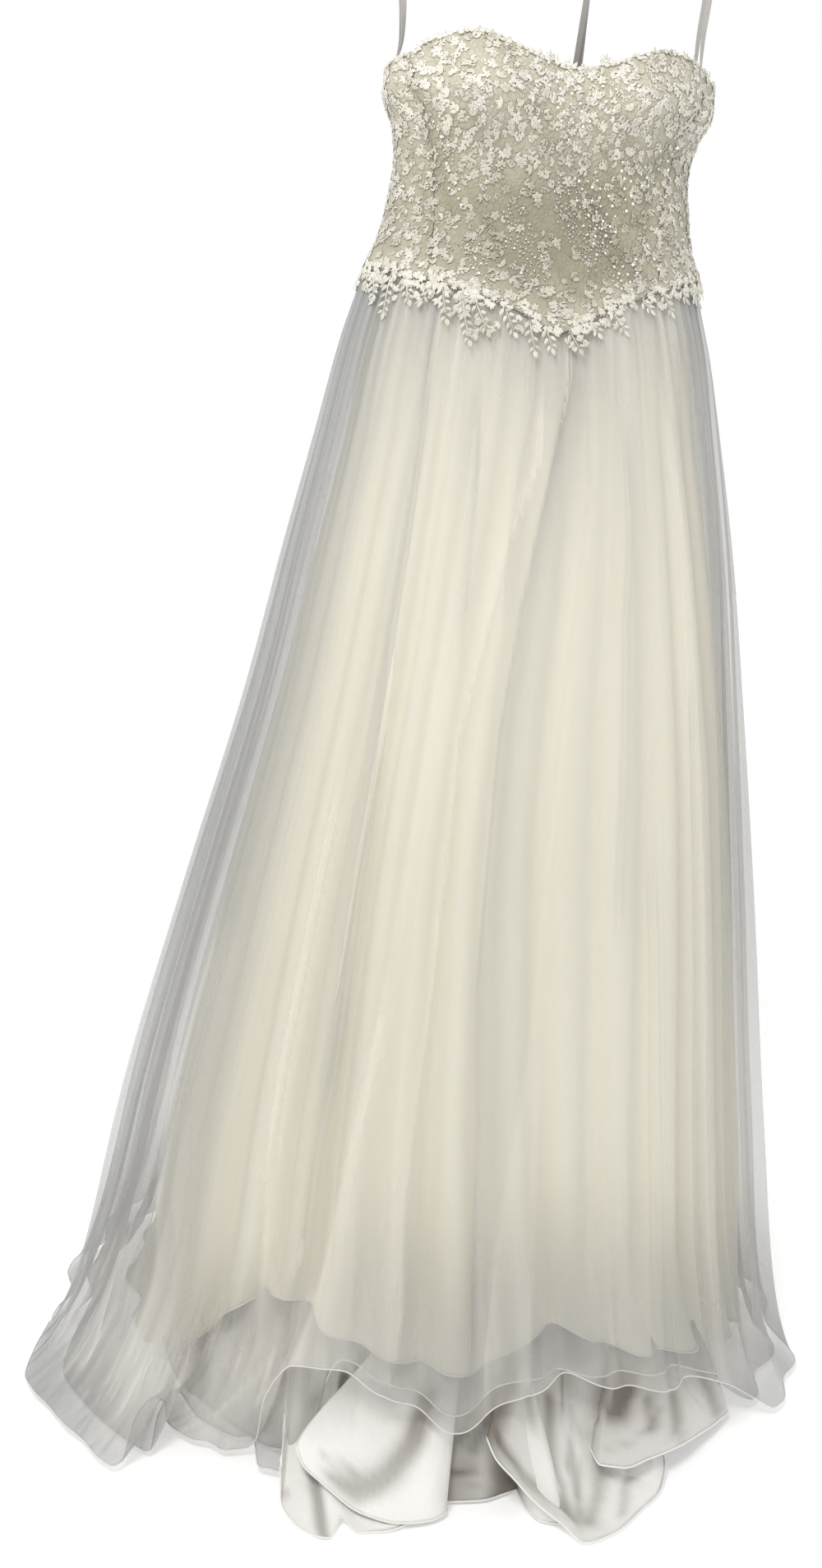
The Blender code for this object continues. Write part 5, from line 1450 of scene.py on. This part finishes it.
neck_ring = ring_round(NECK_RING_HEIGHT)
petals = []
for x in np.arange(NECK_MARGIN, np.interp(180, *neck_ring) - NECK_MARGIN, NECK_STEP):
    turn = float(np.interp(x, neck_ring[1], neck_ring[0]))
    y = float(along(TOP_EDGE, turn, "height")) - NECK_DROP
    lean = chance.choice([-1, 1]) * chance.uniform(*NECK_LEAN)
    petals.append((LEAF, x, y, lean, chance.uniform(*NECK_LONG), NECK_WIDE, chance.uniform(*NECK_LIFT)))
for turn, lean, length in NECK_LEAVES:
    x, y = np.interp(turn, *neck_ring), float(along(TOP_EDGE, turn, "height"))
    petals.append((LEAF, x, y - length * STANDING_ROOT, lean, length, length * STANDING_WIDE,
                   STANDING_LIFT))
border_piece("neckline_leaves", petals, neck_ring)

waist_ring = ring_round(WAIST_RING_HEIGHT)
for half, first, last in (("front", -90, 90), ("back", 90, 270)):
    petals = waist_fans(*np.interp((first, last), *waist_ring))
    for root, tip, drop in SPRIGS:
        if first <= tip < last:
            petals += hanging_sprig(root, tip, drop)
    border_piece(f"hanging_lace_{half}", petals, waist_ring, f"lace_edge_{half}")
    down = np.linspace(0, 1, 24)[:, None]
    turn = np.linspace(first, last, 200)[None, :] + 0 * down
    waist = waist_height(turn)
    low = waist - np.maximum(along(LACE_EDGE, turn, "drop") - BORDER_SHORT, BORDER_LEAST)
    height = waist + BORDER_ABOVE + (low - waist - BORDER_ABOVE) * down
    sewn = along(WAIST_CROWD, turn, "share")
    border = strew(f"waist_lace_{half}", flat_ground("flat_border", turn, height, waist_ring, sewn),
                   Motifs=leaf_motifs, Look=thread.material, Seed=91 + first, **BORDER_LACE)
    wrap(border, waist_ring)
    finish_piece(border, thread, "lace")

for shelf in (lace_motifs, leaf_motifs, beads, sequins):
    for piece in list(shelf.objects):
        bpy.data.objects.remove(piece)
    bpy.data.collections.remove(shelf)

# Buttons: eight satin-covered domes down the centre back, on the edge that overlaps.
BUTTON_RADIUS, BUTTON_TALL, BUTTON_ASIDE, BUTTON_LIFT = 0.0055, 0.0036, 0.008, 0.0008
BUTTON_TOP, BUTTON_STEP = 1.570, 0.0235
BUTTONS, BUTTON_SIDES = 8, 20
# From its middle to its rim: the share of its radius and of its height
BUTTON_PROFILE = [(0.0, 1.0), (0.30, 0.97), (0.62, 0.86), (0.86, 0.62), (0.99, 0.34), (0.97, 0.14),
                  (0.80, 0.0)]
for number in range(BUTTONS):
    height = BUTTON_TOP - number * BUTTON_STEP
    depth = float(along(BODICE, height, "back")) + BUTTON_LIFT
    points = []
    for out, tall in BUTTON_PROFILE:
        for k in range(BUTTON_SIDES):
            a = k * math.tau / BUTTON_SIDES
            points.append((BUTTON_ASIDE + math.cos(a) * out * BUTTON_RADIUS, depth + tall * BUTTON_TALL,
                           height - HANG + math.sin(a) * out * BUTTON_RADIUS))
    faces = ring_faces(len(BUTTON_PROFILE), BUTTON_SIDES)
    faces.append(tuple(range(len(points) - BUTTON_SIDES, len(points))))
    button = make_piece(f"covered_button_{number + 1}", points, faces)
    face_out(button)
    finish_piece(button, satin, "satin", f"back_button_{number + 1}")

# Floor and light: a plain pale floor under a bright even sky, with one large soft lamp in front on
# the left and a weaker one on the right.
FLOOR_DROP, FLOOR_SIZE = 0.0005, 30
FLOOR_NEAR, FLOOR_FAR = 1.2, 6.0  # between these distances it gets as bright as the sky
SKY_FRONT = 0.25  # how bright the sky is high up in front of the dress; low down and behind it is 1
SKY_BEHIND, SKY_HIGH = (-0.5, 0.4), (0.08, 0.60)
# name, place, what it points at, size, power and colour
LAMPS = [("key", (-1.1, -1.7, 1.25), (0, 0, -0.6), 0.9, 52, (1.0, 0.985, 0.96)),
         ("fill", (2.4, -1.8, 0.2), (0, 0, -0.9), 2.0, 10, (1.0, 1.0, 1.0))]

bpy.ops.mesh.primitive_plane_add(size=FLOOR_SIZE, location=(0, 0, -HANG - FLOOR_DROP))
floor = bpy.context.object
floor.name = "floor"
paint = Finish("pale_floor", Roughness=0.9, Specular_IOR_Level=0.1, Emission_Strength=0.44)
away = paint.node("ShaderNodeVectorMath", {"operation": "LENGTH"}, {0: paint.place}, 1)
far = paint.clamp(FLOOR_NEAR, away, FLOOR_FAR)
paint.drive("Emission Color", paint.blend(far, (0.68, 0.68, 0.68), (1.0, 1.0, 1.0)))
paint.mottle(2, 2, (0.90, 0.90, 0.90), (0.93, 0.93, 0.93))
floor.data.materials.append(paint.material)

world = bpy.data.worlds.new("sky")
bpy.context.scene.world = world
world.use_nodes = True
sky = Net(world.node_tree)
toward = sky.node("ShaderNodeTexCoord", output="Generated")
behind, high = [
    sky.clamp(low, sky.node("ShaderNodeSeparateXYZ", None, {0: toward}, axis), full)
    for axis, (low, full) in ((1, SKY_BEHIND), (2, SKY_HIGH))
]
backdrop = world.node_tree.nodes["Background"]
backdrop.inputs["Color"].default_value = (1, 1, 1, 1)
bright = 1 - (1 - SKY_FRONT) * high * (1 - behind)
world.node_tree.links.new(bright.socket, backdrop.inputs["Strength"])
bpy.context.scene.view_settings.view_transform = "Standard"
bpy.context.scene.cycles.transparent_max_bounces = 32

for name, place, aim, size, power, colour in LAMPS:
    light = bpy.data.lights.new(name, "AREA")
    light.size, light.energy, light.color = size, power, colour
    lamp = bpy.data.objects.new(name, light)
    bpy.context.scene.collection.objects.link(lamp)
    lamp.location = place
    lamp.rotation_euler = (Vector(aim) - Vector(place)).to_track_quat("-Z", "Y").to_euler()
